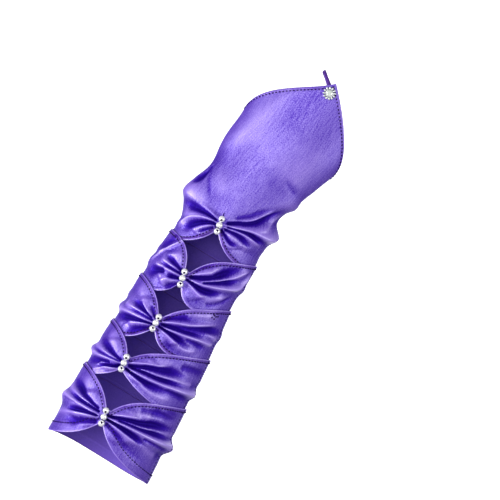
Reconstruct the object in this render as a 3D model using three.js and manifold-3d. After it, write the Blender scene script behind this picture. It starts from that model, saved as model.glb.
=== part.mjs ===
// A fingerless evening glove of satin for the left forearm, in the form it has when it is worn.
// X runs along the forearm to the fingers, Z points out of the back of the hand, and +Y is the
// little finger's side. The origin is on the forearm's axis at the wrist. Millimetres.
import * as THREE from 'three';
import { mergeVertices } from 'three/addons/utils/BufferGeometryUtils.js';
import Module from 'manifold-3d';

const wasm = await Module();
wasm.setup();

// Driving dimensions
const sleeveLength = 250;    // wrist to elbow hem
const flapLength = 100;      // wrist to the flap's point
const armWidth = 88;         // inside the sleeve at the elbow
const armDepth = 78;
const handWidth = 89;        // inside the glove across the palm
const handDepth = 42;
const palmHem = -12;         // the hand opening's edge under the palm
const clothWall = 1.2;
const layerGap = 0.5;        // between one band and the band that lies over it
const gatherLength = 14;     // what is left of a band's width under its beads
const gatherWidth = 4;       // across the pinched cloth, along the band
const foldHeight = 3;        // the tallest fold over the plain cloth
const puffHeight = 4;        // how far a bow's wings stand off the arm
const hemDrop = 20;          // how far a hem swings away from the gather
const hemOverlap = 0.26;     // share of a strip's width that lies under or over its neighbour
const beadDiameter = 5.2;
const beadBore = 1.6;
const threadDiameter = 0.8;
const seatGap = 0.3;         // between pieces that are sewn or set on each other
const buttonDiameter = 11;
const buttonInset = 9.6;     // from the flap's point to the button's middle
const settingThickness = 1;
const stoneDiameter = 6;
const stoneHeight = 2.6;
const loopDiameter = 2.6;
const loopReach = 3.5;       // the loop before the flap's point, on the little finger's side
const loopSlant = 6;         // how far it runs back on its way round the finger
const fingerWidth = 17.5;
const fingerOffset = 3.5;    // the finger's middle from the point, to the little finger's side
const collarWall = 0.45;
const collarHeight = 1.1;
const petalCount = 12;
const petalNotch = 0.7;
const petalBead = 0.75;
const threadEnd = 0.7;       // thread that stands out of the end beads
const bowShare = 0.5;        // of the hand panel's rows, those that belong to the first bow

const degree = Math.PI / 180;
const flapBearing = 5.5 * degree;

// How finely round forms are faceted
const columnsAround = 40;
const columnCrowding = 1.35; // above 1 crowds the columns towards the gathers
const beadSides = 10;
const beadSteps = 5;
const threadSides = 6;
const loopSteps = 30;
const loopSides = 4;
const stoneSides = 10;

// Sections of the forearm and hand. Station is a share of the sleeve's length behind the wrist and
// of the flap's length before it; width, depth and drift are shares of the arm's or hand's sizes.
const sections = [
  { of: 'arm', station: -1.06, width: 1.01, depth: 1.01, drift: 0.05, lift: 0 },
  { of: 'arm', station: -0.88, width: 0.99, depth: 1.0, drift: 0, lift: 0 },
  { of: 'arm', station: -0.72, width: 0.955, depth: 0.93, drift: -0.045, lift: 0 },
  { of: 'arm', station: -0.56, width: 0.9, depth: 0.85, drift: -0.08, lift: 0 },
  { of: 'arm', station: -0.4, width: 0.83, depth: 0.75, drift: -0.148, lift: 0 },
  { of: 'arm', station: -0.24, width: 0.79, depth: 0.67, drift: -0.136, lift: 0 },
  { of: 'arm', station: -0.12, width: 0.79, depth: 0.61, drift: -0.205, lift: 0 },
  { of: 'hand', station: 0, width: 0.85, depth: 1.03, drift: -0.135, lift: 0 },
  { of: 'hand', station: 0.2, width: 0.935, depth: 1.0, drift: -0.067, lift: 0 },
  { of: 'hand', station: 0.4, width: 0.99, depth: 0.97, drift: 0.022, lift: 0.01 },
  { of: 'hand', station: 0.7, width: 1.0, depth: 0.86, drift: 0.045, lift: 0.02 },
  { of: 'hand', station: 1.05, width: 1.0, depth: 0.76, drift: 0.09, lift: 0.04 },
];

// Hems, as swings away from the gather on the little finger's side and on the thumb's side. Swing
// is how far a hem goes along the arm and reach how far around it takes, in hem drops, and slope is
// how much it goes on along the arm for each step around.
const hems = {
  flapEdge: {
    little: { swing: -0.15, reach: 0.4, slope: -0.66 }, thumb: { swing: 0, reach: 0.4, slope: -0.97 },
  },
  bowTop: {
    little: { swing: 0, reach: 0.4, slope: 0.1 }, thumb: { swing: 0, reach: 0.4, slope: 0.75 },
  },
  panelLower: {
    little: { swing: -1.35, reach: 0.8, slope: 0 }, thumb: { swing: -0.75, reach: 0.55, slope: 0 },
  },
  upper2: {
    little: { swing: 1, reach: 0.375, slope: 0.1 }, thumb: { swing: 0.8, reach: 0.4, slope: 0.38 },
  },
  lower2: {
    little: { swing: -0.8, reach: 0.4, slope: 0 }, thumb: { swing: -0.85, reach: 0.4, slope: 0.25 },
  },
  upper3: {
    little: { swing: 0.95, reach: 0.55, slope: 0.12 }, thumb: { swing: 0.55, reach: 0.5, slope: 0.45 },
  },
  lower3: {
    little: { swing: -1.1, reach: 0.65, slope: 0 }, thumb: { swing: -0.8, reach: 0.5, slope: 0.2 },
  },
  upper4: {
    little: { swing: 0.7, reach: 0.45, slope: 0.2 }, thumb: { swing: 0.46, reach: 0.5, slope: 0.38 },
  },
  lower4: {
    little: { swing: -1.2, reach: 1.0, slope: 0 }, thumb: { swing: -0.8, reach: 1.4, slope: 0.05 },
  },
  upper5: {
    little: { swing: 0.8, reach: 0.6, slope: 0.22 }, thumb: { swing: 0.74, reach: 0.5, slope: 0.33 },
  },
  elbowHem: {
    little: { swing: -1, reach: 0.75, slope: -0.25 }, thumb: { swing: -0.9, reach: 0.8, slope: -0.09 },
  },
};

// Folds of each piece, a row for each crest or valley. Share is where it lies from the lower hem to
// the upper one. Near is its height beside the beads and far its height at the arm's edge, on the
// little finger's side and on the thumb's side, in fold heights.
const panelFolds = [
  { share: 0, littleNear: 0, littleFar: 0, thumbNear: 0, thumbFar: 0 },
  { share: 0.09, littleNear: -0.3, littleFar: 0, thumbNear: 0.4, thumbFar: 0 },
  { share: 0.17, littleNear: 0.9, littleFar: 0.2, thumbNear: 0.9, thumbFar: 0.3 },
  { share: 0.24, littleNear: -0.5, littleFar: 0, thumbNear: -0.6, thumbFar: 0.9 },
  { share: 0.32, littleNear: 1, littleFar: 0.5, thumbNear: 0.5, thumbFar: 2.6 },
  { share: 0.41, littleNear: -0.7, littleFar: 1.4, thumbNear: 1, thumbFar: -0.4 },
  { share: 0.5, littleNear: 0.7, littleFar: 2.6, thumbNear: -0.5, thumbFar: -0.6 },
  { share: 0.57, littleNear: -0.1, littleFar: 1.4, thumbNear: 0.5, thumbFar: 0.5 },
  { share: 0.66, littleNear: 0, littleFar: -0.3, thumbNear: 0, thumbFar: 0 },
  { share: 0.78, littleNear: 0, littleFar: 0, thumbNear: 0, thumbFar: 0 },
  { share: 0.9, littleNear: 0, littleFar: 0, thumbNear: 0, thumbFar: 0 },
  { share: 1, littleNear: 0, littleFar: 0, thumbNear: 0, thumbFar: 0 },
];
const bandFolds = {
  band_2: [
    { share: 0, littleNear: 0, littleFar: 0, thumbNear: 0, thumbFar: 0 },
    { share: 0.13, littleNear: -0.5, littleFar: 0, thumbNear: -0.3, thumbFar: 0 },
    { share: 0.25, littleNear: 0.8, littleFar: 0.2, thumbNear: 0.2, thumbFar: 0 },
    { share: 0.35, littleNear: -0.4, littleFar: 0, thumbNear: 0.7, thumbFar: 0 },
    { share: 0.45, littleNear: 1, littleFar: 0.5, thumbNear: -0.7, thumbFar: 0 },
    { share: 0.56, littleNear: -0.7, littleFar: 0, thumbNear: 1, thumbFar: 0.4 },
    { share: 0.69, littleNear: 0.5, littleFar: 0.2, thumbNear: -0.8, thumbFar: 0 },
    { share: 0.83, littleNear: -0.3, littleFar: 0, thumbNear: 1, thumbFar: 0.3 },
    { share: 1, littleNear: 0, littleFar: 0, thumbNear: 0, thumbFar: 0 },
  ],
  band_3: [
    { share: 0, littleNear: 0, littleFar: 0, thumbNear: 0, thumbFar: 0 },
    { share: 0.13, littleNear: -0.3, littleFar: 0, thumbNear: 0.3, thumbFar: 0 },
    { share: 0.22, littleNear: 0.8, littleFar: 0.2, thumbNear: 0.5, thumbFar: 0 },
    { share: 0.33, littleNear: -0.6, littleFar: 0, thumbNear: -0.7, thumbFar: 0 },
    { share: 0.43, littleNear: 1, littleFar: 0.9, thumbNear: -0.4, thumbFar: 0 },
    { share: 0.56, littleNear: -0.7, littleFar: 0, thumbNear: 1, thumbFar: 0.4 },
    { share: 0.69, littleNear: 0.9, littleFar: 0.3, thumbNear: -0.5, thumbFar: 0 },
    { share: 0.83, littleNear: -0.2, littleFar: 0, thumbNear: 0.6, thumbFar: 0.2 },
    { share: 1, littleNear: 0, littleFar: 0, thumbNear: 0, thumbFar: 0 },
  ],
  band_4: [
    { share: 0, littleNear: 0, littleFar: 0, thumbNear: 0, thumbFar: 0 },
    { share: 0.12, littleNear: -0.3, littleFar: 0, thumbNear: 0.4, thumbFar: 0 },
    { share: 0.22, littleNear: 0.9, littleFar: 0.2, thumbNear: -0.6, thumbFar: 0 },
    { share: 0.32, littleNear: -0.6, littleFar: 0.2, thumbNear: -0.2, thumbFar: 0 },
    { share: 0.43, littleNear: 1, littleFar: 1.1, thumbNear: 1, thumbFar: 1.1 },
    { share: 0.56, littleNear: -0.6, littleFar: 0, thumbNear: -0.8, thumbFar: 0 },
    { share: 0.7, littleNear: 0.5, littleFar: 0, thumbNear: 0.9, thumbFar: 0.2 },
    { share: 0.85, littleNear: -0.2, littleFar: 0, thumbNear: -0.2, thumbFar: 0 },
    { share: 1, littleNear: 0, littleFar: 0, thumbNear: 0, thumbFar: 0 },
  ],
  band_5: [
    { share: 0, littleNear: 0, littleFar: 0, thumbNear: 0, thumbFar: 0 },
    { share: 0.14, littleNear: -0.2, littleFar: 0, thumbNear: -0.5, thumbFar: 0 },
    { share: 0.26, littleNear: 0.9, littleFar: 0.3, thumbNear: 0.8, thumbFar: 0 },
    { share: 0.38, littleNear: -0.7, littleFar: 0.2, thumbNear: -1, thumbFar: 0 },
    { share: 0.5, littleNear: 1, littleFar: 1.3, thumbNear: 1, thumbFar: 1.9 },
    { share: 0.62, littleNear: -0.6, littleFar: 0.3, thumbNear: -0.5, thumbFar: 0 },
    { share: 0.74, littleNear: 0.5, littleFar: 0, thumbNear: 0.8, thumbFar: 0.2 },
    { share: 0.87, littleNear: -0.1, littleFar: 0, thumbNear: -0.1, thumbFar: 0 },
    { share: 1, littleNear: 0, littleFar: 0, thumbNear: 0, thumbFar: 0 },
  ],
};

// Where the forms of a bow begin and end, as turns around the arm from its gather.
const bowTurns = {
  seat: [0, 16],        // rises out of the pinched cloth
  wing: [26, 68],       // the puffed wing ends
  nearFold: [18, 55],   // folds beside the beads end
  farFold: [33, 72],    // folds at the arm's edge begin
  farFoldEnd: [94, 137],
  plainHem: [10, 39],   // the hem begins to lie plain on its neighbour
};
const hemFade = 0.12;   // share of a strip's width from the plain hem to the full folds
const layerRise = [0.3, 0.7];   // share of a strip's width over which it climbs onto the next layer

// Gathers from the wrist to the elbow. Station is a share of the sleeve's length, bearing the angle
// from the top of the arm to the thumb's side, and tilt how far a string of beads leans, in beads.
const gathers = [
  { station: -0.182, bearing: -6.5 * degree, tilt: -0.05 },
  { station: -0.388, bearing: -12 * degree, tilt: -0.25 },
  { station: -0.554, bearing: -14 * degree, tilt: 0 },
  { station: -0.716, bearing: -21.5 * degree, tilt: -0.1 },
  { station: -0.896, bearing: -12.5 * degree, tilt: -0.15 },
];

// The closed strips that make up the glove, each from its lower hem to its upper one.
const strips = [
  { name: 'hand_panel', gather: 0, lower: 'panelLower', upper: 'flapEdge', folds: panelFolds,
    onHand: true },
  { name: 'band_2', gather: 1, lower: 'lower2', upper: 'upper2', folds: bandFolds.band_2 },
  { name: 'band_3', gather: 2, lower: 'lower3', upper: 'upper3', folds: bandFolds.band_3 },
  { name: 'band_4', gather: 3, lower: 'lower4', upper: 'upper4', folds: bandFolds.band_4 },
  { name: 'band_5', gather: 4, lower: 'elbowHem', upper: 'upper5', folds: bandFolds.band_5 },
];

// Materials
const satin = new THREE.MeshStandardMaterial({ color: 0x6b4fd6, roughness: 0.38, metalness: 0 });
const darkSatin = new THREE.MeshStandardMaterial({ color: 0x5a2f92, roughness: 0.45, metalness: 0 });
const pearl = new THREE.MeshStandardMaterial({ color: 0xe6e6f0, roughness: 0.18, metalness: 0.5 });
const sewingThread = new THREE.MeshStandardMaterial({ color: 0x3a1a78, roughness: 0.8, metalness: 0 });
const silver = new THREE.MeshStandardMaterial({ color: 0xdfe0e6, roughness: 0.2, metalness: 1 });
const paste = new THREE.MeshStandardMaterial({ color: 0xeef4ee, roughness: 0.05, metalness: 0 });

// The arm's section at any station, smooth between the rows of the table.
const stationOf = (row) => row.station * (row.of === 'arm' ? sleeveLength : flapLength);
const sectionCurve = new THREE.CubicInterpolant(
  sections.map(stationOf),
  sections.flatMap((row) => {
    const width = row.of === 'arm' ? armWidth : handWidth;
    const depth = row.of === 'arm' ? armDepth : handDepth;
    return [row.width * width / 2, row.depth * depth / 2, row.drift * width / 2, row.lift * depth];
  }),
  4,
);

// A point of the cloth: a station, a bearing around the arm and a height over the arm's section.
function clothPoint(x, bearing, height) {
  const [halfWidth, halfDepth, drift, lift] = sectionCurve.evaluate(x);
  const across = Math.sin(bearing);
  const up = Math.cos(bearing);
  const normal = new THREE.Vector2(across / halfWidth, up / halfDepth).normalize();
  return new THREE.Vector3(
    x,
    -(drift + halfWidth * across + height * normal.x),
    lift + halfDepth * up + height * normal.y,
  );
}

// How far a bearing lies from an edge's middle, down to the arm's side. A gathered edge is measured
// straight across, as from above, from the side of its pinched cloth, and the flap's edge along
// the hand.
function edgeDistance(edge, bearing) {
  const side = THREE.MathUtils.clamp(bearing, -Math.PI / 2, Math.PI / 2);
  if (!edge.gathered) return edge.halfWidth * Math.abs(side - edge.middle);
  const across = edge.halfWidth * Math.abs(Math.sin(side) - Math.sin(edge.middle));
  return Math.max(0, across - gatherWidth / 2);
}

// The station of an edge at a bearing. It swings away from its start on both sides down to the
// arm's side, and runs smoothly to its place under the arm from there.
function edgeStation(edge, bearing) {
  const side = bearing < edge.middle ? edge.hem.little : edge.hem.thumb;
  const distance = edgeDistance(edge, bearing);
  const swing = side.swing * hemDrop * (1 - Math.exp(-distance / (side.reach * hemDrop)));
  const beyond = THREE.MathUtils.smoothstep(Math.abs(bearing), Math.PI / 2, Math.PI);
  return THREE.MathUtils.lerp(edge.start + swing + side.slope * distance, edge.under, beyond);
}

// A gathered edge's place under the arm is halfway between its two ends at the arm's sides.
function gatheredEdge(hem, start, middle, share) {
  const halfWidth = sectionCurve.evaluate(start)[0] + clothWall;
  const edge = { hem, start, middle, halfWidth, share, gathered: true, under: start };
  edge.under = (edgeStation(edge, -Math.PI / 2) + edgeStation(edge, Math.PI / 2)) / 2;
  return edge;
}

// The edges of a strip from its lower hem to its upper one, each with its share of the width.
function stripEdges(strip) {
  const gather = gathers[strip.gather];
  const station = gather.station * sleeveLength;
  const below = station - gatherLength / 2;
  const above = station + gatherLength / 2;
  const lower = gatheredEdge(hems[strip.lower], below, gather.bearing, 0);
  if (!strip.onHand) {
    return [lower, gatheredEdge(hems[strip.upper], above, gather.bearing, 1)];
  }
  return [
    lower,
    gatheredEdge(hems.bowTop, above, gather.bearing, bowShare),
    { hem: hems[strip.upper], start: flapLength, middle: flapBearing, halfWidth: handWidth / 2,
      under: palmHem, share: 1, gathered: false },
  ];
}

// How high the cloth of a strip stands over the arm at one of its rows and a turn from its gather:
// its layer, the puff of the bow's wings and the folds that run out of the gather. The cloth is
// plain where one strip lies over the next, from the corners of the openings outwards.
function clothHeight(strip, row, turn) {
  const { smoothstep } = THREE.MathUtils;
  const along = (form) => smoothstep(Math.abs(turn) / degree, ...bowTurns[form]);
  const layer = strip.onHand ? 0 : (clothWall + layerGap) * smoothstep(row.share, ...layerRise);
  const start = along('seat');
  const bowWidth = strip.onHand ? bowShare : 1;
  const bow = Math.min(1, row.share / bowWidth);
  const puff = puffHeight * 4 * bow * (1 - bow) * start * (1 - along('wing'));
  const near = turn < 0 ? row.littleNear : row.thumbNear;
  const far = turn < 0 ? row.littleFar : row.thumbFar;
  const nearReach = start * (1 - along('nearFold'));
  const farReach = along('farFold') * (1 - along('farFoldEnd'));
  const plain = hemOverlap * along('plainHem');
  const aboveLower = smoothstep(bow, plain, plain + hemFade);
  const belowUpper = strip.onHand ? 1 : smoothstep(1 - bow, plain, plain + hemFade);
  const free = aboveLower * belowUpper;
  return layer + free * (puff + foldHeight * (near * nearReach + far * farReach));
}

// A strip is a lathed tube with a closed wall, whose points are then laid on the arm.
function stripGeometry(strip) {
  const rows = strip.folds.length;
  const profile = [];
  for (let row = 0; row < rows; row++) profile.push(new THREE.Vector2(2, row));
  for (let row = rows - 1; row >= 0; row--) profile.push(new THREE.Vector2(1, row));
  profile.push(profile[0].clone());
  const geometry = new THREE.LatheGeometry(profile, columnsAround);
  const edges = stripEdges(strip);
  const places = geometry.attributes.position;
  const gatherBearing = edges[0].middle;
  const lean = edges.at(-1).middle - gatherBearing;
  for (let column = 0; column <= columnsAround; column++) {
    const step = 2 * (column % columnsAround) / columnsAround - 1;
    const turn = Math.PI * Math.sign(step) * Math.abs(step) ** columnCrowding;
    profile.forEach((corner, index) => {
      const row = strip.folds[corner.y];
      const bearing = gatherBearing + turn + lean * row.share * (1 - Math.abs(step));
      const next = Math.max(1, edges.findIndex((edge) => edge.share >= row.share));
      const [from, to] = [edges[next - 1], edges[next]];
      const x = THREE.MathUtils.mapLinear(
        row.share, from.share, to.share, edgeStation(from, bearing), edgeStation(to, bearing),
      );
      const wall = corner.x === 2 ? clothWall : 0;
      const place = clothPoint(x, bearing, clothHeight(strip, row, turn) + wall);
      places.setXYZ(column * profile.length + index, place.x, place.y, place.z);
    });
  }
  return closed(geometry);
}

// Merges a closed geometry's shared points and leaves only its positions.
function closed(geometry) {
  geometry.deleteAttribute('normal');
  geometry.deleteAttribute('uv');
  return mergeVertices(geometry, 1e-3);
}

// A round bead with a bore along its own Y axis.
function beadGeometry() {
  const boreRadius = beadBore / 2;
  const radius = beadDiameter / 2;
  const mouth = Math.asin(boreRadius / radius);
  const profile = [];
  for (let step = 0; step <= beadSteps; step++) {
    const angle = THREE.MathUtils.lerp(mouth, Math.PI - mouth, step / beadSteps);
    profile.push(new THREE.Vector2(radius * Math.sin(angle), -radius * Math.cos(angle)));
  }
  profile.push(profile[0].clone());
  return closed(new THREE.LatheGeometry(profile, beadSides));
}

// Three beads on a thread lie over each gather, just clear of the cloth.
function beadString(gather, number) {
  const beadLength = Math.sqrt(beadDiameter ** 2 - beadBore ** 2);
  const pitch = beadLength + seatGap;
  const seat = clothWall + layerGap + clothWall + seatGap + beadDiameter / 2;
  const middle = gather.station * sleeveLength;
  const tilt = gather.tilt * pitch / (armWidth / 2);
  const start = clothPoint(middle + pitch, gather.bearing + tilt, seat);
  const end = clothPoint(middle - pitch, gather.bearing - tilt, seat);
  const direction = start.clone().sub(end).normalize();
  const turn = new THREE.Quaternion().setFromUnitVectors(new THREE.Vector3(0, 1, 0), direction);
  const string = new THREE.Group();
  ['a', 'b', 'c'].forEach((letter, place) => {
    const bead = new THREE.Mesh(beadGeometry(), pearl);
    bead.name = `bead_${number}${letter}`;
    bead.position.lerpVectors(start, end, place / 2);
    bead.quaternion.copy(turn);
    string.add(bead);
  });
  const length = 3 * pitch + 2 * threadEnd;
  const shape = new THREE.CylinderGeometry(threadDiameter / 2, threadDiameter / 2, length, threadSides);
  const thread = new THREE.Mesh(closed(shape), sewingThread);
  thread.name = `bead_thread_${number}`;
  thread.position.lerpVectors(start, end, 0.5);
  thread.quaternion.copy(turn);
  string.add(thread);
  return string;
}

// The finger loop's route. Its ends lie under the flap, back from the point and across it in loop
// diameters, and between them it goes round a ring by its angle from the top and share of the slant.
const loopStart = [{ back: 3.3, across: -1 }, { back: 1.9, across: -1.4 }];
const loopRing = [
  { angle: -58, slant: 0.2 },
  { angle: -90, slant: 0 },
  { angle: -135, slant: 0.2 },
  { angle: 180, slant: 0.5 },
  { angle: 135, slant: 0.8 },
  { angle: 90, slant: 1 },
  { angle: 58, slant: 1.2 },
];
const loopFinish = [{ back: 2.5, across: 1.6 }, { back: 3.65, across: 1 }];

// The finger loop starts and ends sewn under the flap's point, and runs round the middle finger.
function fingerLoop() {
  const underFlap = ({ back, across }) => clothPoint(
    flapLength - back * loopDiameter, flapBearing + across * loopDiameter / (handWidth / 2),
    -seatGap - loopDiameter / 2,
  );
  const ring = fingerWidth / 2 + loopDiameter / 2;
  const top = underFlap({ back: 0, across: 0 });
  const centre = new THREE.Vector3(flapLength + loopReach, top.y + fingerOffset, top.z - ring);
  const onRing = ({ angle, slant }) => new THREE.Vector3(
    centre.x - slant * loopSlant,
    centre.y - ring * Math.sin(angle * degree),
    centre.z + ring * Math.cos(angle * degree),
  );
  const path = new THREE.CatmullRomCurve3([
    ...loopStart.map(underFlap), ...loopRing.map(onRing), ...loopFinish.map(underFlap),
  ]);
  const section = new THREE.Shape();
  section.absarc(0, 0, loopDiameter / 2, 0, 2 * Math.PI);
  const shape = new THREE.ExtrudeGeometry(section, {
    extrudePath: path, steps: loopSteps, curveSegments: loopSides,
  });
  const mesh = new THREE.Mesh(closed(shape), darkSatin);
  mesh.name = 'finger_loop';
  return mesh;
}

// The solid of a closed geometry, for joining.
function solid(geometry) {
  const mesh = closed(geometry);
  return new wasm.Manifold(new wasm.Mesh({
    numProp: 3,
    vertProperties: new Float32Array(mesh.attributes.position.array),
    triVerts: new Uint32Array(mesh.index.array),
  }));
}

// The button's setting is cast in one piece: a plate of petals pierced between them, a collar for
// the stone and a bead on each petal.
function settingGeometry() {
  const edge = buttonDiameter / 2;
  const collarInside = stoneDiameter / 2 + seatGap;
  const collarOutside = collarInside + collarWall;
  const petalTurn = 2 * Math.PI / petalCount;
  const at = (radius, angle) => new THREE.Vector2(radius * Math.cos(angle), radius * Math.sin(angle));
  const outline = [];
  for (let petal = 0; petal < petalCount; petal++) {
    const middle = petal * petalTurn;
    outline.push(at(edge - petalNotch, middle - petalTurn / 2));
    outline.push(at(edge - petalNotch / 4, middle - petalTurn / 5));
    outline.push(at(edge, middle));
    outline.push(at(edge - petalNotch / 4, middle + petalTurn / 5));
  }
  const plate = new THREE.Shape(outline);
  for (let petal = 0; petal < petalCount; petal++) {
    const notch = (petal + 0.5) * petalTurn;
    const inner = collarOutside + petalNotch / 4;
    const outer = edge - 2 * petalNotch;
    plate.holes.push(new THREE.Path([
      at(inner, notch - petalTurn / 4), at(inner, notch + petalTurn / 4), at(outer, notch),
    ]));
  }
  const collarProfile = [
    [collarInside, settingThickness / 2], [collarOutside, settingThickness / 2],
    [collarOutside, settingThickness + collarHeight], [collarInside, settingThickness + collarHeight],
    [collarInside, settingThickness / 2],
  ].map(([radius, height]) => new THREE.Vector2(radius, height));
  const collar = new THREE.LatheGeometry(collarProfile, 2 * petalCount).rotateX(Math.PI / 2);
  let setting = solid(new THREE.ExtrudeGeometry(plate, {
    depth: settingThickness, bevelEnabled: false,
  })).add(solid(collar));
  for (let petal = 0; petal < petalCount; petal++) {
    const place = at(edge - petalBead, petal * petalTurn);
    const bead = new THREE.IcosahedronGeometry(petalBead, 0);
    setting = setting.add(solid(bead.translate(place.x, place.y, settingThickness)));
  }
  const mesh = setting.getMesh();
  const geometry = new THREE.BufferGeometry();
  geometry.setAttribute('position', new THREE.BufferAttribute(mesh.vertProperties, 3));
  geometry.setIndex(new THREE.BufferAttribute(mesh.triVerts, 1));
  return geometry;
}

// The stone's profile, in shares of its radius and height: a point below, a girdle, the crown's
// facets and a flat table.
const stoneProfile = [
  { across: 0, up: 0 },
  { across: 1, up: 0.5 },
  { across: 1, up: 0.6 },
  { across: 0.58, up: 1 },
  { across: 0, up: 1 },
];

function stoneGeometry() {
  const profile = stoneProfile.map(
    ({ across, up }) => new THREE.Vector2(across * stoneDiameter / 2, up * stoneHeight),
  );
  return closed(new THREE.LatheGeometry(profile, stoneSides).rotateX(Math.PI / 2));
}

// The button lies on the flap, square to the cloth under its middle.
function button() {
  const x = flapLength - buttonInset;
  const along = clothPoint(x + 1, flapBearing, 0).sub(clothPoint(x - 1, flapBearing, 0)).normalize();
  const step = 1 * degree;
  const across = clothPoint(x, flapBearing - step, 0).sub(clothPoint(x, flapBearing + step, 0));
  const out = along.clone().cross(across).normalize();
  const group = new THREE.Group();
  group.position.copy(clothPoint(x, flapBearing, clothWall + seatGap));
  group.quaternion.setFromRotationMatrix(
    new THREE.Matrix4().makeBasis(along, out.clone().cross(along), out),
  );
  const setting = new THREE.Mesh(settingGeometry(), silver);
  setting.name = 'button_setting';
  const stone = new THREE.Mesh(stoneGeometry(), paste);
  stone.name = 'button_stone';
  stone.position.z = settingThickness + seatGap;
  group.add(setting, stone);
  return group;
}

const glove = new THREE.Group();
for (const strip of strips) {
  const mesh = new THREE.Mesh(stripGeometry(strip), satin);
  mesh.name = strip.name;
  glove.add(mesh);
}
gathers.forEach((gather, index) => glove.add(beadString(gather, index + 1)));
glove.add(fingerLoop());
glove.add(button());

export default glove;
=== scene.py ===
"""A fingerless evening glove of purple satin, in the form it has when worn.

X runs along the sleeve to the flap's point, Z points out of the bows, and +Y is the outer side. Cloth
is worked out in millimetres, and each finished mesh is in metres.
"""

import math

import bmesh
import bpy
import numpy as np
from mathutils import Matrix, Vector


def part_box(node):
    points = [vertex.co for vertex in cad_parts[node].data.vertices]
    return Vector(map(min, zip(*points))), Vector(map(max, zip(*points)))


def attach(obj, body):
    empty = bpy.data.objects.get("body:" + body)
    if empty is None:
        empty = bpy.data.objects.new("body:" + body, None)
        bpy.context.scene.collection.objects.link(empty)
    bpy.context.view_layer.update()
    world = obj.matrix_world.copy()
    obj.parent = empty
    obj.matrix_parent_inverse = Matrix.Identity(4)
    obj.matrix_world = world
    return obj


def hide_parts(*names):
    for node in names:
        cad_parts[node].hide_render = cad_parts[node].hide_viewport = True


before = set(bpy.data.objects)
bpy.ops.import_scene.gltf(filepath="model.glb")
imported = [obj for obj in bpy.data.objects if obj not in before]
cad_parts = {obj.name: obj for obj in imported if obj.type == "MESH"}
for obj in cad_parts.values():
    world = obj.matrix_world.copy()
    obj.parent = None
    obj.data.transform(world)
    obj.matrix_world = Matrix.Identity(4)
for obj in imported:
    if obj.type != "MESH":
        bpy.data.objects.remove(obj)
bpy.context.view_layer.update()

# Hand panel
# One piece of satin: a flap that comes to a point, and runs down over the narrow end of the sleeve
# into the first bow. Its edges are turned under and stitched, and the bow is drawn together by hand
# under three beads. The glove lies on a smooth form, which isn't a piece of its own.
MM = 0.001
DEGREE = math.pi / 180
SLEEVE_LENGTH = 250
FLAP_LENGTH = 100
SLEEVE_WIDTH = 88
SLEEVE_DEPTH = 78
FLAP_WIDTH = 89
FLAP_DEPTH = 42
UNDER_HEM = -12
FLAP_BEARING = 5.5 * DEGREE
GATHER_LENGTH = 14
GATHER_WIDTH = 4
FOLD_HEIGHT = 3
PUFF_HEIGHT = 3
HEM_DROP = 20
HEM_OVERLAP = 0.26
HEM_FADE = 0.12
SURFACE_HEIGHT = 1.2     # the cloth's face over the form
CLOTH_THICKNESS = 0.8    # satin with its turned hem, thinner than the solid that stands for it
COLUMNS_AROUND = 340
COLUMN_CROWDING = 1.6
CAD_CROWDING = 1.35
BOW_SHARE = 0.5

# Sections of the form: station, width, depth, drift and lift, as shares of their sizes.
SLEEVE_SECTIONS = (
    (-1.06, 1.01, 1.01, 0.05, 0),
    (-0.88, 0.99, 1.0, 0, 0),
    (-0.72, 0.955, 0.93, -0.045, 0),
    (-0.56, 0.9, 0.85, -0.08, 0),
    (-0.4, 0.83, 0.75, -0.148, 0),
    (-0.24, 0.79, 0.67, -0.136, 0),
    (-0.12, 0.79, 0.61, -0.205, 0),
)
FLAP_SECTIONS = (
    (0, 0.85, 1.03, -0.135, 0),
    (0.2, 0.935, 1.0, -0.067, 0),
    (0.4, 0.99, 0.97, 0.022, 0.01),
    (0.7, 1.0, 0.86, 0.045, 0.02),
    (1.05, 1.0, 0.76, 0.09, 0.04),
)


def in_millimetres(rows, length, width, depth):
    """Rows of shares as station, half width, half depth, drift and lift."""
    scale = (length, width / 2, depth / 2, width / 2, depth)
    return np.array(rows) * scale


SECTIONS = np.concatenate([
    in_millimetres(SLEEVE_SECTIONS, SLEEVE_LENGTH, SLEEVE_WIDTH, SLEEVE_DEPTH),
    in_millimetres(FLAP_SECTIONS, FLAP_LENGTH, FLAP_WIDTH, FLAP_DEPTH),
])


def smooth_rows(knots, rows, at):
    """Rows blended smoothly between their knots, by a cubic through every row."""
    before = 2 * knots[0] - knots[1]
    after = 2 * knots[-1] - knots[-2]
    stations = np.concatenate([[before], knots, [after]])
    values = np.concatenate([rows[1:2], rows, rows[-2:-1]])
    at = np.clip(at, knots[0], knots[-1])
    i = np.clip(np.searchsorted(knots, at, side="right") - 1, 0, len(knots) - 2) + 1
    step = stations[i + 1] - stations[i]
    p = ((at - stations[i]) / step)[:, None]
    a = (0.5 * step / (stations[i] - stations[i - 1]))[:, None]
    b = (0.5 * step / (stations[i + 2] - stations[i + 1]))[:, None]
    return (
        (-a * p**3 + 2 * a * p**2 - a * p) * values[i - 1]
        + ((1 + a) * p**3 - (1.5 + 2 * a) * p**2 + (a - 0.5) * p + 1) * values[i]
        + (-(1 + b) * p**3 + (1.5 + b) * p**2 + 0.5 * p) * values[i + 1]
        + (b * p**3 - b * p**2) * values[i + 2]
    )


def form_section(x):
    """Half width, half depth, drift and lift of the form at each station."""
    return smooth_rows(SECTIONS[:, 0], SECTIONS[:, 1:], np.atleast_1d(x)).T


def form_point(x, bearing, height):
    """Points at a station, a bearing from the top to the inner side and a height."""
    half_width, half_depth, drift, lift = form_section(x)
    across, up = np.sin(bearing), np.cos(bearing)
    outward = np.stack([across / half_width, up / half_depth])
    outward /= np.linalg.norm(outward, axis=0)
    y = -(drift + half_width * across + height * outward[0])
    z = lift + half_depth * up + height * outward[1]
    return np.stack([x, y, z], axis=1)


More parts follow.
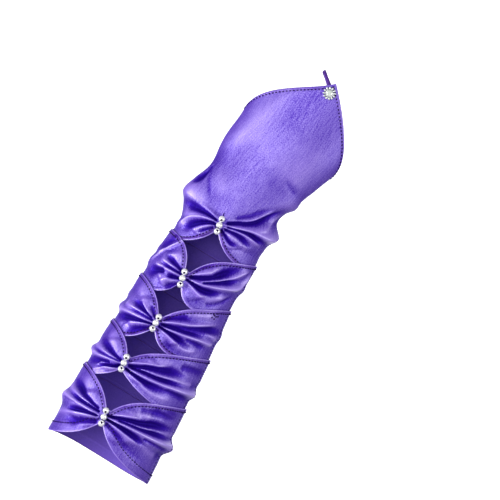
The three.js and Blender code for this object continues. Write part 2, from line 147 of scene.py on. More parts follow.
def smoothstep(value, start, end):
    """A smooth rise from 0 at start to 1 at end."""
    t = np.clip((value - start) / (end - start), 0, 1)
    return t * t * (3 - 2 * t)


# Hems on the outer side and the inner: swing and reach in hem drops, and slope.
HEMS = {
    "flap_edge": ((-0.15, 0.4, -0.66), (0, 0.4, -0.97)),
    "bow_top": ((0, 0.4, 0.1), (0, 0.4, 0.75)),
    "panel_lower": ((-1.35, 0.8, 0), (-0.75, 0.55, 0)),
    "upper_2": ((1, 0.375, 0.1), (0.8, 0.4, 0.38)),
    "lower_2": ((-0.8, 0.4, 0), (-0.85, 0.4, 0.25)),
    "upper_3": ((0.95, 0.55, 0.12), (0.55, 0.5, 0.45)),
    "lower_3": ((-1.1, 0.65, 0), (-0.8, 0.5, 0.2)),
    "upper_4": ((0.7, 0.45, 0.2), (0.46, 0.5, 0.38)),
    "lower_4": ((-1.2, 1, 0), (-0.8, 1.4, 0.05)),
    "upper_5": ((0.8, 0.6, 0.22), (0.74, 0.5, 0.33)),
    "elbow_hem": ((-1, 0.75, -0.25), (-0.9, 0.8, -0.09)),
}
# Gathers from the flap to the elbow hem: station as a share of the sleeve, and bearing.
GATHERS = (
    (-0.182, -6.5 * DEGREE),
    (-0.388, -12 * DEGREE),
    (-0.554, -14 * DEGREE),
    (-0.716, -21.5 * DEGREE),
    (-0.896, -12.5 * DEGREE),
)


def hem_distance(edge, bearing):
    """How far a bearing lies from an edge's middle, down to the glove's side."""
    side = np.clip(bearing, -math.pi / 2, math.pi / 2)
    if not edge["gathered"]:
        return edge["half_width"] * np.abs(side - edge["middle"])
    across = edge["half_width"] * np.abs(np.sin(side) - math.sin(edge["middle"]))
    return np.maximum(0, across - GATHER_WIDTH / 2)


def hem_station(edge, bearing):
    """Where along the glove an edge lies at each bearing."""
    outer, inner = (np.array(side) for side in HEMS[edge["hem"]])
    on_outer = (bearing < edge["middle"])[:, None]
    swing, reach, slope = np.where(on_outer, outer, inner).T
    distance = hem_distance(edge, bearing)
    swung = swing * HEM_DROP * (1 - np.exp(-distance / (reach * HEM_DROP)))
    beyond = smoothstep(np.abs(bearing), 90 * DEGREE, 157 * DEGREE)
    free = edge["start"] + swung + slope * distance
    return free + (edge["under"] - free) * beyond


def gathered_edge(hem, start, middle, share):
    """An edge that starts at a gather and lies level underneath."""
    half_width = form_section(start)[0][0] + SURFACE_HEIGHT
    edge = dict(hem=hem, start=start, middle=middle, half_width=half_width, share=share,
                gathered=True, under=start)
    sides = hem_station(edge, np.array([-math.pi / 2, math.pi / 2]))
    edge["under"] = sides.mean()
    return edge


def strip_edges(strip):
    """The edges of a strip of cloth from its lower hem to its upper one."""
    station, bearing = GATHERS[strip["gather"]]
    middle = station * SLEEVE_LENGTH
    lower = gathered_edge(strip["lower"], middle - GATHER_LENGTH / 2, bearing, 0)
    if "with_flap" not in strip:
        return [lower, gathered_edge(strip["upper"], middle + GATHER_LENGTH / 2, bearing, 1)]
    top = gathered_edge("bow_top", middle + GATHER_LENGTH / 2, bearing, BOW_SHARE)
    flap = dict(hem=strip["upper"], start=FLAP_LENGTH, middle=FLAP_BEARING, share=1,
                half_width=FLAP_WIDTH / 2, gathered=False, under=UNDER_HEM)
    return [lower, top, flap]


def strip_place(strip, turn, share):
    """Station and bearing of points of a strip, at turns from its gather and shares of its width."""
    edges = strip["edges"]
    lean = edges[-1]["middle"] - edges[0]["middle"]
    step = (np.abs(turn) / math.pi) ** (1 / CAD_CROWDING)
    bearing = edges[0]["middle"] + turn + lean * share * (1 - step)
    x = np.zeros_like(turn)
    for start, end in zip(edges, edges[1:]):
        part = (share - start["share"]) / (end["share"] - start["share"])
        inside = (part >= 0) & (part <= 1)
        from_x, to_x = hem_station(start, bearing), hem_station(end, bearing)
        x = np.where(inside, from_x + part * (to_x - from_x), x)
    return x, bearing


FOLD_LIFT = 2.5          # about how high the folds stand, where the places on them were read
WIDEST = 0.995           # as a share of the form's half width


def unrolled(along, across):
    """Points seen from above, laid out flat around the form."""
    half_width, _, drift, _ = form_section(along)
    bearing = np.arcsin(np.clip((across - drift) / (half_width + FOLD_LIFT), -WIDEST, WIDEST))
    return np.stack([along, half_width * bearing], axis=1)


BROAD_CREST = 3.5            # far width from which a crest is a billow, which rises slowly
CREST_RISE = (0.6, 0.2)      # the share of its height at its start, and where it is full
BILLOW_RISE = (0.1, 0.6)
CREST_TOP = (0.25, 0.4)      # how round a crest's top is: at least, and for each mm of width
WIDTH_FULL = 0.7             # where a fold has its far width
VALLEY_FADE = 0.5
VALLEY_TAPER = (0.45, 0.6)   # how much narrower a valley gets, and from where


def fold_relief(fold, points):
    """The height that a fold gives to points of the unrolled cloth."""
    kind, height, near_width, far_width, fade, line = fold
    corners = unrolled(*np.array(line, float).T)
    steps = np.linspace(0, len(corners) - 1, 4 * len(corners) - 3)
    knots = smooth_rows(np.arange(len(corners), dtype=float), corners, steps)
    lengths = np.linalg.norm(np.diff(knots, axis=0), axis=1)
    along = np.concatenate([[0], np.cumsum(lengths)]) / lengths.sum()
    margin = 5 * max(near_width, far_width) + 2
    low, high = knots.min(axis=0) - margin, knots.max(axis=0) + margin
    near = np.all((points > low) & (points < high), axis=1)
    close = points[near]
    nearest = np.full(len(close), 1e9)
    place = np.zeros(len(close))
    for start, end, a, b in zip(knots, knots[1:], along, along[1:]):
        edge = end - start
        t = np.clip((close - start) @ edge / (edge @ edge), 0, 1)
        distance = np.linalg.norm(close - start - t[:, None] * edge, axis=1)
        closer = distance < nearest
        nearest = np.where(closer, distance, nearest)
        place = np.where(closer, a + t * (b - a), place)
    width = near_width + (far_width - near_width) * smoothstep(place, 0, WIDTH_FULL)
    start, full = BILLOW_RISE if kind == "crest" and far_width > BROAD_CREST else CREST_RISE
    relief = np.zeros(len(points))
    if kind == "valley":
        start, fade = 1, max(fade, VALLEY_FADE)
        width = width * (1 - VALLEY_TAPER[0] * smoothstep(place, VALLEY_TAPER[1], 1))
    rise = (start + (1 - start) * smoothstep(place, 0, full)) * (1 - smoothstep(place, 1 - fade, 1.001))
    if kind == "valley":
        relief[near] = -height * rise * np.exp(-(nearest / width) ** 2)
    else:
        top = CREST_TOP[0] + CREST_TOP[1] * width
        relief[near] = height * rise * np.exp(-(np.hypot(nearest, top) - top) / width)
    return relief


def fold_sum(folds, points):
    """Crests and valleys together: where folds meet, the higher or deeper one shows."""
    crests = np.zeros(len(points))
    valleys = np.zeros(len(points))
    for fold in folds:
        relief = fold_relief(fold, points)
        if fold[0] == "valley":
            valleys += np.abs(relief) ** 3
        else:
            crests += np.abs(relief) ** 3
    return np.cbrt(crests) - np.cbrt(valleys)


def edge_gap(edge, x, bearing):
    """Distance from points of the cloth to one of its edges, square to the edge."""
    step = 0.5 * DEGREE
    half_width = form_section(x)[0]
    slope = (hem_station(edge, bearing + step) - hem_station(edge, bearing - step)) / (
        2 * step * half_width)
    return np.abs(x - hem_station(edge, bearing)) / np.sqrt(1 + slope**2)


# Where the forms of a bow begin and end, as turns around the form from its gather.
BOW_TURNS = {
    "seat": (0, 16),
    "wing": (26, 68),
    "far_fold": (33, 72),
    "far_fold_end": (94, 137),
    "plain_hem": (10, 39),
}
LAYER_HEIGHT = 1.3
LYING_GAP = 0.15
DRAPE_SLOPE = 0.9
COVERED_RELIEF = 0.45
LAYER_RISE = (0.3, 0.7)
HEM_RELIEF = 0.35
STITCH_GROOVE = 0.3
SEAM_BEARING = 76 * DEGREE
SEAM_GROOVE = 0.35
SEAM_WIDTH = 0.7
GROOVE_WIDTH = 0.45
TURNED_STEP = (0.4, 0.5)     # before and past the stitches, where a turned hem ends
EDGE_ROUNDING = (0.4, 0.35)
SIDE_CALM = 0.65             # how much the folds lie down on the glove's sides
SIDE_BEARINGS = (50, 80)
BACK_BEARINGS = (105, 140)
LYING_BLEND = 0.04
STITCH_INSET = 2.9
ROLL_WIDTH = 0.5


def place_on(strip, x, bearing):
    """Turn and share of points of a strip, from their station and bearing."""
    start, end = strip["edges"][:2]
    lower, upper = hem_station(start, bearing), hem_station(end, bearing)
    share = end["share"] * (x - lower) / (upper - lower)
    lean = strip["edges"][-1]["middle"] - start["middle"]
    turn = bearing - start["middle"]
    for _ in range(4):
        step = np.clip(np.abs(turn) / math.pi, 0, 1) ** (1 / CAD_CROWDING)
        turn = bearing - start["middle"] - lean * share * (1 - step)
    return turn, share


def over_cloth(below, x, bearing):
    """The least height at which cloth lies on the strip below it, and slopes off its lower hem."""
    turn, share = place_on(below, x, bearing)
    past_hem = np.maximum(0, hem_station(below["edges"][0], bearing) - x)
    top, _ = strip_height(below, turn, np.clip(share, 0, 1), x, bearing, lies_on=False)
    return top + CLOTH_THICKNESS + LYING_GAP - DRAPE_SLOPE * past_hem


def strip_height(strip, turn, share, x, bearing, lies_on=True):
    """How high the cloth's face stands over the form, and the part of it that the folds make."""
    def around(form):
        start, end = BOW_TURNS[form]
        return smoothstep(np.abs(turn) / DEGREE, start, end)

    with_flap = "with_flap" in strip
    layer = 0 if with_flap else LAYER_HEIGHT * smoothstep(share, *LAYER_RISE)
    bow = np.minimum(1, share / (BOW_SHARE if with_flap else 1))
    puff = PUFF_HEIGHT * 4 * bow * (1 - bow) * around("seat") * (1 - around("wing"))
    rows = np.array(strip["far_folds"], float)
    outer_far, inner_far = smooth_rows(rows[:, 0], rows[:, 1:], share).T
    far = np.where(turn < 0, outer_far, inner_far)
    far = far * around("far_fold") * (1 - around("far_fold_end"))
    plain = HEM_OVERLAP * around("plain_hem")
    free = smoothstep(bow, plain, plain + HEM_FADE)
    if not with_flap:
        free = free * smoothstep(1 - bow, plain, plain + HEM_FADE)
    half_width = form_section(x)[0]
    points = np.stack([x, half_width * bearing], axis=1)
    fine = fold_sum(strip["folds"], points)
    fine = fine * (1 - smoothstep(np.abs(bearing) / DEGREE, *BACK_BEARINGS))
    edge_on = 1 - SIDE_CALM * smoothstep(np.abs(bearing) / DEGREE, *SIDE_BEARINGS)
    lower_hem = 1 - smoothstep(bow, plain, plain + HEM_FADE)
    kept = 1 - (1 - COVERED_RELIEF) * lower_hem * around("plain_hem")
    hems = 0
    for edge, inset in ((strip["edges"][0], strip["lower_inset"]),
                        (strip["edges"][-1], strip["upper_inset"])):
        gap = edge_gap(edge, x, bearing)
        turned = HEM_RELIEF * (1 - smoothstep(gap, inset - TURNED_STEP[0], inset + TURNED_STEP[1]))
        groove = STITCH_GROOVE * np.exp(-((gap - inset) / GROOVE_WIDTH) ** 2)
        rounded = EDGE_ROUNDING[0] * np.exp(-gap / EDGE_ROUNDING[1])
        hems = hems + turned - groove - rounded
    if not with_flap:
        off_seam = half_width * (bearing - SEAM_BEARING)
        hems = hems - SEAM_GROOVE * np.exp(-(off_seam / SEAM_WIDTH) ** 2)
    height = SURFACE_HEIGHT + layer + free * (puff + FOLD_HEIGHT * far) + kept * edge_on * fine + hems
    if lies_on and "below" in strip:
        least = over_cloth(strip["below"], x, bearing)
        height = (height + least + np.sqrt((height - least) ** 2 + LYING_BLEND)) / 2
    return height, kept * fine


def relaxed(grid, passes):
    """A grid of heights smoothed along both of its ways."""
    for _ in range(passes):
        padded = np.pad(grid, ((1, 1), (0, 0)), mode="edge")
        grid = (padded[:-2] + 2 * padded[1:-1] + padded[2:]) / 4
        padded = np.pad(grid, ((0, 0), (1, 1)), mode="wrap")
        grid = (padded[:, :-2] + 2 * padded[:, 1:-1] + padded[:, 2:]) / 4
    return grid


def strip_surface(strip, turn, share, lift):
    """Points in millimetres that stand a lift off the cloth's face."""
    x, bearing = strip_place(strip, turn, share)
    return form_point(x, bearing, strip_height(strip, turn, share, x, bearing)[0] + lift)


HEM_TONE_START = (0.5, 1.2)
HEM_TONE_END = (-0.2, 0.8)   # off the stitches


def hem_zone(strip, x, bearing):
    """How much of a turned hem's plainer tone shows at points of a strip."""
    zones = []
    for edge, inset, tone in ((strip["edges"][0], strip["lower_inset"], strip["lower_tone"]),
                              (strip["edges"][-1], strip["upper_inset"], strip["upper_tone"])):
        gap = edge_gap(edge, x, bearing)
        past_stitches = smoothstep(gap - inset, *HEM_TONE_END)
        zones.append(tone * smoothstep(gap, *HEM_TONE_START) * (1 - past_stitches))
    return np.maximum(*zones)


def rolled_edge(strip, x, bearing):
    """How near points of a strip lie to the rolled edge of a hem, from 0 to 1, where a highlight is
    painted.
    """
    gap = np.minimum(edge_gap(strip["edges"][0], x, bearing), edge_gap(strip["edges"][-1], x, bearing))
    return 1 - smoothstep(gap, ROLL_WIDTH, 2 * ROLL_WIDTH)


def linear(code):
    """An sRGB hex value as the linear colour of a node."""
    parts = [int(code[i:i + 2], 16) / 255 for i in (1, 3, 5)]
    return (*[c / 12.92 if c <= 0.04045 else ((c + 0.055) / 1.055) ** 2.4 for c in parts], 1)


def add_node(tree, kind, settings=None, values=None):
    """Adds a node, with its settings, and its inputs' values or the sockets that feed them."""
    node = tree.nodes.new(kind)
    for name, value in (settings or {}).items():
        setattr(node, name, value)
    for name, value in (values or {}).items():
        if isinstance(value, bpy.types.NodeSocket):
            tree.links.new(value, node.inputs[name])
        else:
            node.inputs[name].default_value = value
    return node


def new_material(name):
    """A material with an empty node tree, and its output node."""
    material = bpy.data.materials.new(name)
    material.use_nodes = True
    material.node_tree.nodes.clear()
    output = add_node(material.node_tree, "ShaderNodeOutputMaterial")
    return material, material.node_tree, output


# The hollow attribute holds painted light and shade: points sunk below their surroundings and the
# valleys of folds are painted darker, and crests and the rolled edges of hems are painted lighter.
SMOOTH_PASSES = 60       # how far round a point its surroundings reach, for its tone
SUNK_PAINTED_SHADE = 0.1
FOLD_PAINTED_SHADING = 0.12
ROLL_PAINTED_HIGHLIGHT = 0.3
MERGE_GAP = 0.002
WEAVE_CONTRAST = 0.42
STREAK_SHARE = 0.6
WEAVE_MIDDLE = 0.8       # the mean of the streaks' and the grain's sum
# Polyester satin: long floats of bright yarn on the face give a broad coloured gloss. Its colour
# and its gloss's tint are painted from the hollow attribute: painted highlight, pale, on crests and
# rolled edges, and painted shade, a deep blue violet, in hollows. Near the turned hems the colour
# is mixed with a darker plum and a dimmer gloss.
satin, tree, output = new_material("polyester_satin_face")
hollow = add_node(tree, "ShaderNodeAttribute", {"attribute_name": "hollow"}).outputs["Fac"]
hem = add_node(tree, "ShaderNodeAttribute", {"attribute_name": "hem"}).outputs["Fac"]
uv = add_node(tree, "ShaderNodeUVMap", {"uv_map": "cloth"}).outputs["UV"]
grain = add_node(tree, "ShaderNodeTexNoise", values={"Vector": uv, "Scale": 1.0, "Detail": 2})
streak_way = add_node(tree, "ShaderNodeMapping", values={
    "Vector": uv, "Rotation": (0, 0, 0.8), "Scale": (0.1, 0.8, 1)})
streaks = add_node(tree, "ShaderNodeTexNoise", values={"Vector": streak_way.outputs[0], "Scale": 1})
texture = add_node(tree, "ShaderNodeMath", {"operation": "MULTIPLY_ADD"},
                   {0: streaks.outputs["Fac"], 1: STREAK_SHARE, 2: grain.outputs["Fac"]})
centred = add_node(tree, "ShaderNodeMath", {"operation": "SUBTRACT"},
                   {0: texture.outputs[0], 1: WEAVE_MIDDLE})
tone = add_node(tree, "ShaderNodeMath", {"operation": "MULTIPLY_ADD"},
                {0: centred.outputs[0], 1: WEAVE_CONTRAST, 2: hollow}).outputs[0]


def tone_ramp(tree, tone, stops):
    """A colour ramp over a tone, with its stops in order."""
    ramp = add_node(tree, "ShaderNodeValToRGB", values={"Fac": tone})
    elements = ramp.color_ramp.elements
    elements[0].position, elements[0].color = stops[0][0], linear(stops[0][1])
    elements[1].position, elements[1].color = stops[-1][0], linear(stops[-1][1])
    for position, code in stops[1:-1]:
        elements.new(position).color = linear(code)
    return ramp.outputs["Color"]


# Painted light and shade: tone 0 is a painted highlight, pale in colour and white in gloss, and tone 1
# is painted shade, deep blue violet with almost no gloss.
body = tone_ramp(tree, tone, (
    (0, "#9876ee"), (0.3, "#7048d0"), (0.5, "#4824a8"), (0.62, "#33108c"), (0.8, "#280a86"),
    (1, "#1b066a")))
painted_gloss_tint = tone_ramp(tree, tone, (
    (0, "#ffffff"), (0.3, "#f0e8ff"), (0.5, "#b4a4ee"), (0.62, "#6850c4"), (0.8, "#2e1894"),
    (1, "#180a62")))
body = add_node(tree, "ShaderNodeMix", {"data_type": "RGBA"}, {
    0: hem, 6: body, 7: linear("#3c1870")}).outputs[2]
painted_gloss_tint = add_node(tree, "ShaderNodeMix", {"data_type": "RGBA"}, {
    0: hem, 6: painted_gloss_tint, 7: linear("#7652be")}).outputs[2]
# The real floats lie 0.1 mm apart, too fine to show, so the twill is drawn about 1.6 mm apart.
twill = add_node(tree, "ShaderNodeTexWave", {"bands_direction": "DIAGONAL"}, {
    "Vector": uv, "Scale": 0.28, "Distortion": 4, "Detail": 2, "Detail Scale": 1.5})
relief = add_node(tree, "ShaderNodeMath", {"operation": "MULTIPLY_ADD"},
                  {0: twill.outputs["Fac"], 1: 0.3, 2: grain.outputs["Fac"]})
bump = add_node(tree, "ShaderNodeBump", values={
    "Height": relief.outputs[0], "Strength": 0.4, "Distance": 0.0003})
face = add_node(tree, "ShaderNodeBsdfPrincipled", values={
    "Base Color": body, "Roughness": 0.46, "IOR": 2.2, "Specular IOR Level": 1.0,
    "Specular Tint": painted_gloss_tint, "Anisotropic": 0.3, "Normal": bump.outputs["Normal"]})
tree.links.new(face.outputs["BSDF"], output.inputs["Surface"])

# The satin's back is its dull side: short floats, no gloss, and a little darker.
satin_back, tree, output = new_material("polyester_satin_back")
uv = add_node(tree, "ShaderNodeUVMap", {"uv_map": "cloth"}).outputs["UV"]
grain = add_node(tree, "ShaderNodeTexNoise", values={"Vector": uv, "Scale": 0.8, "Detail": 3})
dull = tone_ramp(tree, grain.outputs["Fac"], ((0, "#5a3db4"), (1, "#7656cc")))
bump = add_node(tree, "ShaderNodeBump", values={
    "Height": grain.outputs["Fac"], "Strength": 0.15, "Distance": 0.0003})
back = add_node(tree, "ShaderNodeBsdfPrincipled", values={
    "Base Color": dull, "Roughness": 0.7, "Sheen Weight": 0.2,
    "Normal": bump.outputs["Normal"]})
tree.links.new(back.outputs["BSDF"], output.inputs["Surface"])


def mottled(name, scale, colours, finish, detail=2, bump=0):
    """A material whose colour wavers between two, with the values that its finish sets."""
    material, tree, output = new_material(name)
    place = add_node(tree, "ShaderNodeTexCoord").outputs["Object"]
    cloud = add_node(tree, "ShaderNodeTexNoise", values={
        "Vector": place, "Scale": scale, "Detail": detail}).outputs["Fac"]
    values = {"Base Color": tone_ramp(tree, cloud, ((0, colours[0]), (1, colours[1]))), **finish}
    if bump:
        values["Normal"] = add_node(tree, "ShaderNodeBump", values={
            "Height": cloud, "Strength": bump, "Distance": 0.0002}).outputs["Normal"]
    shader = add_node(tree, "ShaderNodeBsdfPrincipled", values=values)
    tree.links.new(shader.outputs["BSDF"], output.inputs["Surface"])
    return material


# The rim along the cloth's edges: a darker, matt plum.
cut_edge = mottled("satin_turned_edge", 900, ("#3d1470", "#6a2f9c"), {"Roughness": 0.55})


def finished_object(name, bm, materials, faceted=False):
    """An object of a finished mesh in millimetres, in metres and riding on the glove."""
    bmesh.ops.scale(bm, vec=(MM, MM, MM), verts=bm.verts)
    mesh = bpy.data.meshes.new(name)
    bm.to_mesh(mesh)
    bm.free()
    if not faceted:
        mesh.shade_smooth()
    for material in materials:
        mesh.materials.append(material)
    piece = bpy.data.objects.new(name, mesh)
    bpy.context.collection.objects.link(piece)
    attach(piece, "root")
    return piece


def cloth_piece(name, strip):
    """A closed strip of satin, from a flat grid laid round the form."""
    rows = strip["rows"]
    bm = bmesh.new()
    bmesh.ops.create_grid(bm, x_segments=COLUMNS_AROUND, y_segments=len(rows) - 1, size=0.5)
    flat = np.array([v.co[:2] for v in bm.verts]) + 0.5
    column = np.rint(flat[:, 0] * COLUMNS_AROUND).astype(int)
    row = np.rint(flat[:, 1] * (len(rows) - 1)).astype(int)
    step = 2 * column / COLUMNS_AROUND - 1
    turn = math.pi * np.sign(step) * np.abs(step) ** COLUMN_CROWDING
    share = rows[row]
    x, bearing = strip_place(strip, turn, share)
    height, fine = strip_height(strip, turn, share, x, bearing)
    grid = np.zeros((len(rows), COLUMNS_AROUND + 1))
    grid[row, column] = height
    sunk = relaxed(grid, SMOOTH_PASSES) - grid
    rolled = rolled_edge(strip, x, bearing)
    # Painted shade and highlight: sunk points and fold valleys are painted darker, and crests and
    # rolled hem edges are painted lighter.
    shade = SUNK_PAINTED_SHADE * sunk[row, column] - FOLD_PAINTED_SHADING * fine - ROLL_PAINTED_HIGHLIGHT * rolled
    painted_shade_at = np.clip(strip["tone"] + shade, 0, 1)
    points = form_point(x, bearing, height)
    hem_at = hem_zone(strip, x, bearing)
    half_width = form_section(x)[0]
    uv_layer = bm.loops.layers.uv.new("cloth")
    painted_shade_layer = bm.verts.layers.float.new("hollow")
    hem_layer = bm.verts.layers.float.new("hem")
    bm.verts.index_update()
    for vert, point, painted_shade_here, hem_here in zip(bm.verts, points, painted_shade_at, hem_at):
        vert.co = point
        vert[painted_shade_layer] = painted_shade_here
        vert[hem_layer] = hem_here
    around = half_width * turn
    for one in bm.faces:
        for loop in one.loops:
            i = loop.vert.index
            loop[uv_layer].uv = (x[i], around[i])
    bmesh.ops.remove_doubles(bm, verts=bm.verts, dist=MERGE_GAP)
    bmesh.ops.recalc_face_normals(bm, faces=bm.faces)
    piece = finished_object(name, bm, (satin, satin_back, cut_edge))
    wall = piece.modifiers.new("wall", "SOLIDIFY")
    wall.thickness = CLOTH_THICKNESS * MM
    wall.offset = -1
    wall.material_offset = 1
    wall.material_offset_rim = 2
    return piece


def crest(height, width, line, fade=0.35, near=0.5):
    """A fold's crest: its height and its width at the far end, and the line that it follows."""
    return ("crest", height, near, width, fade, line)


def valley(depth, width, line, fade=0.35, near=1.0):
    """A hollow between folds."""
    return ("valley", depth, near, width, fade, line)


PANEL_FOLDS = (
    crest(0.7, 4.5, ((-41, -16), (-38.5, -26), (-35, -36), (-31, -47)), near=1.2),
    valley(3.0, 3.8, ((-43.4, -16.5), (-42.6, -24), (-42.8, -32), (-43.4, -40), (-43.4, -47))),
    crest(1.6, 3.0, ((-46, -26), (-48, -33), (-51, -38), (-53, -43)), near=1.4),
    crest(3.2, 1.3, ((-45, -15), (-45.4, -20), (-46.6, -25), (-48.8, -30), (-52.5, -35), (-56.5, -38),
                     (-61.5, -40.2), (-66, -41)), fade=0.2),
    valley(4.2, 3.6, ((-46.2, -16), (-47.6, -20), (-50.6, -25), (-55, -30), (-61, -35), (-66.5, -38.4)),
           near=1.2),
    crest(1.1, 2.4, ((-47.5, -15.5), (-51.5, -20.6), (-56, -26), (-62, -30), (-67, -33)), fade=0.4),
    valley(1.8, 1.0, ((-50, -16), (-53.4, -19), (-58.2, -23.5), (-61, -25.5)), near=0.8),
    valley(1.0, 2.4, ((-33, -2), (-26.8, 5.6), (-20, 11.8), (-13.5, 19.4), (-8, 24)), near=1.4),
    crest(1.4, 1.3, ((-33.5, 3), (-29, 8.6), (-23.6, 13), (-17.6, 17.6), (-11, 22.6)), near=0.8,
          fade=0.3),
    valley(3.3, 3.0, ((-41, -6.6), (-36.8, 0), (-32.6, 7.6), (-27, 14.4), (-20.2, 19.2), (-13.6, 24),
                      (-6.6, 28.8)), near=1.2),
    crest(1.8, 2.2, ((-37.4, 9), (-34, 16), (-28, 21.2), (-21, 25), (-14, 28), (-8, 31)), near=1.2),
    crest(3.4, 1.4, ((-43.6, -9.6), (-41.6, -2), (-39, 5), (-36.6, 12), (-35.2, 19), (-34.2, 26.5),
                     (-31.8, 35)), fade=0.15),
    valley(3.8, 2.4, ((-43.6, -5), (-41.6, 2), (-39.8, 10), (-39.4, 18), (-39.4, 27))),
    crest(2.8, 1.1, ((-45.4, -9), (-43.6, -3), (-42.2, 4), (-41.7, 10.4), (-42.6, 19), (-44, 26)),
          fade=0.4),
    valley(2.8, 2.2, ((-46.2, -6), (-45.2, 1), (-45.2, 8), (-46.8, 15), (-49.6, 20))),
    crest(0.8, 2.6, ((-47.6, -6), (-49, 1), (-49.4, 8)), near=1.5),
    valley(2.6, 1.7, ((-48.2, -8), (-50.4, -3.4), (-52.8, 2), (-53, 7), (-51.4, 12)), near=1.1),
    crest(1.3, 3.4, ((-57, 6), (-57, 11), (-54, 15), (-49, 18)), near=2.4),
    valley(4.4, 3.8, ((-8.6, -43.4), (-13, -43.2), (-19, -43.6), (-24, -44.4), (-30, -45.2)), near=0.8),
    valley(0.6, 1.8, ((-10, -42), (-19, -38.5), (-28, -33), (-34, -28)), near=1.2),
    crest(0.6, 4.5, ((-3, -38), (-14, -31), (-28, -22)), near=3, fade=0.5),
    valley(0.6, 2.6, ((12, 17), (9, 24), (5, 32)), fade=0.6, near=2),
    crest(1.1, 11, ((84, -12), (62, -26), (36, -33), (8, -35)), near=6, fade=0.3),
    crest(0.9, 12, ((60, 34), (40, 26), (20, 20), (2, 12)), near=9, fade=0.3),
    valley(0.4, 14, ((94, 4), (76, -4), (48, -12), (20, -18)), fade=0.6, near=10),
)
PANEL_FAR_FOLDS = (
    (0, 0, 0), (0.09, 0, 0), (0.17, 0.2, 0.3), (0.24, 0, 0.9), (0.32, 0.5, 2.6), (0.41, 1.4, -0.4),
    (0.5, 2.6, -0.6), (0.57, 1.4, 0.5), (0.66, -0.3, 0), (0.78, 0, 0), (0.9, 0, 0), (1, 0, 0),
)
PANEL_ROWS = np.unique(np.concatenate([
    np.linspace(0, 0.05, 12), np.linspace(0.05, 0.5, 62), np.linspace(0.5, 0.93, 46),
    np.linspace(0.93, 1, 16),
]))
hand_strip = dict(gather=0, lower="panel_lower", upper="flap_edge", with_flap=True, folds=PANEL_FOLDS,
                  far_folds=PANEL_FAR_FOLDS, rows=PANEL_ROWS, lower_inset=STITCH_INSET,
                  upper_inset=2.6, lower_tone=0.75, upper_tone=0.35, tone=0.5)
hand_strip["edges"] = strip_edges(hand_strip)
hand_panel = cloth_piece("hand_panel_cloth", hand_strip)
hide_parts("hand_panel")

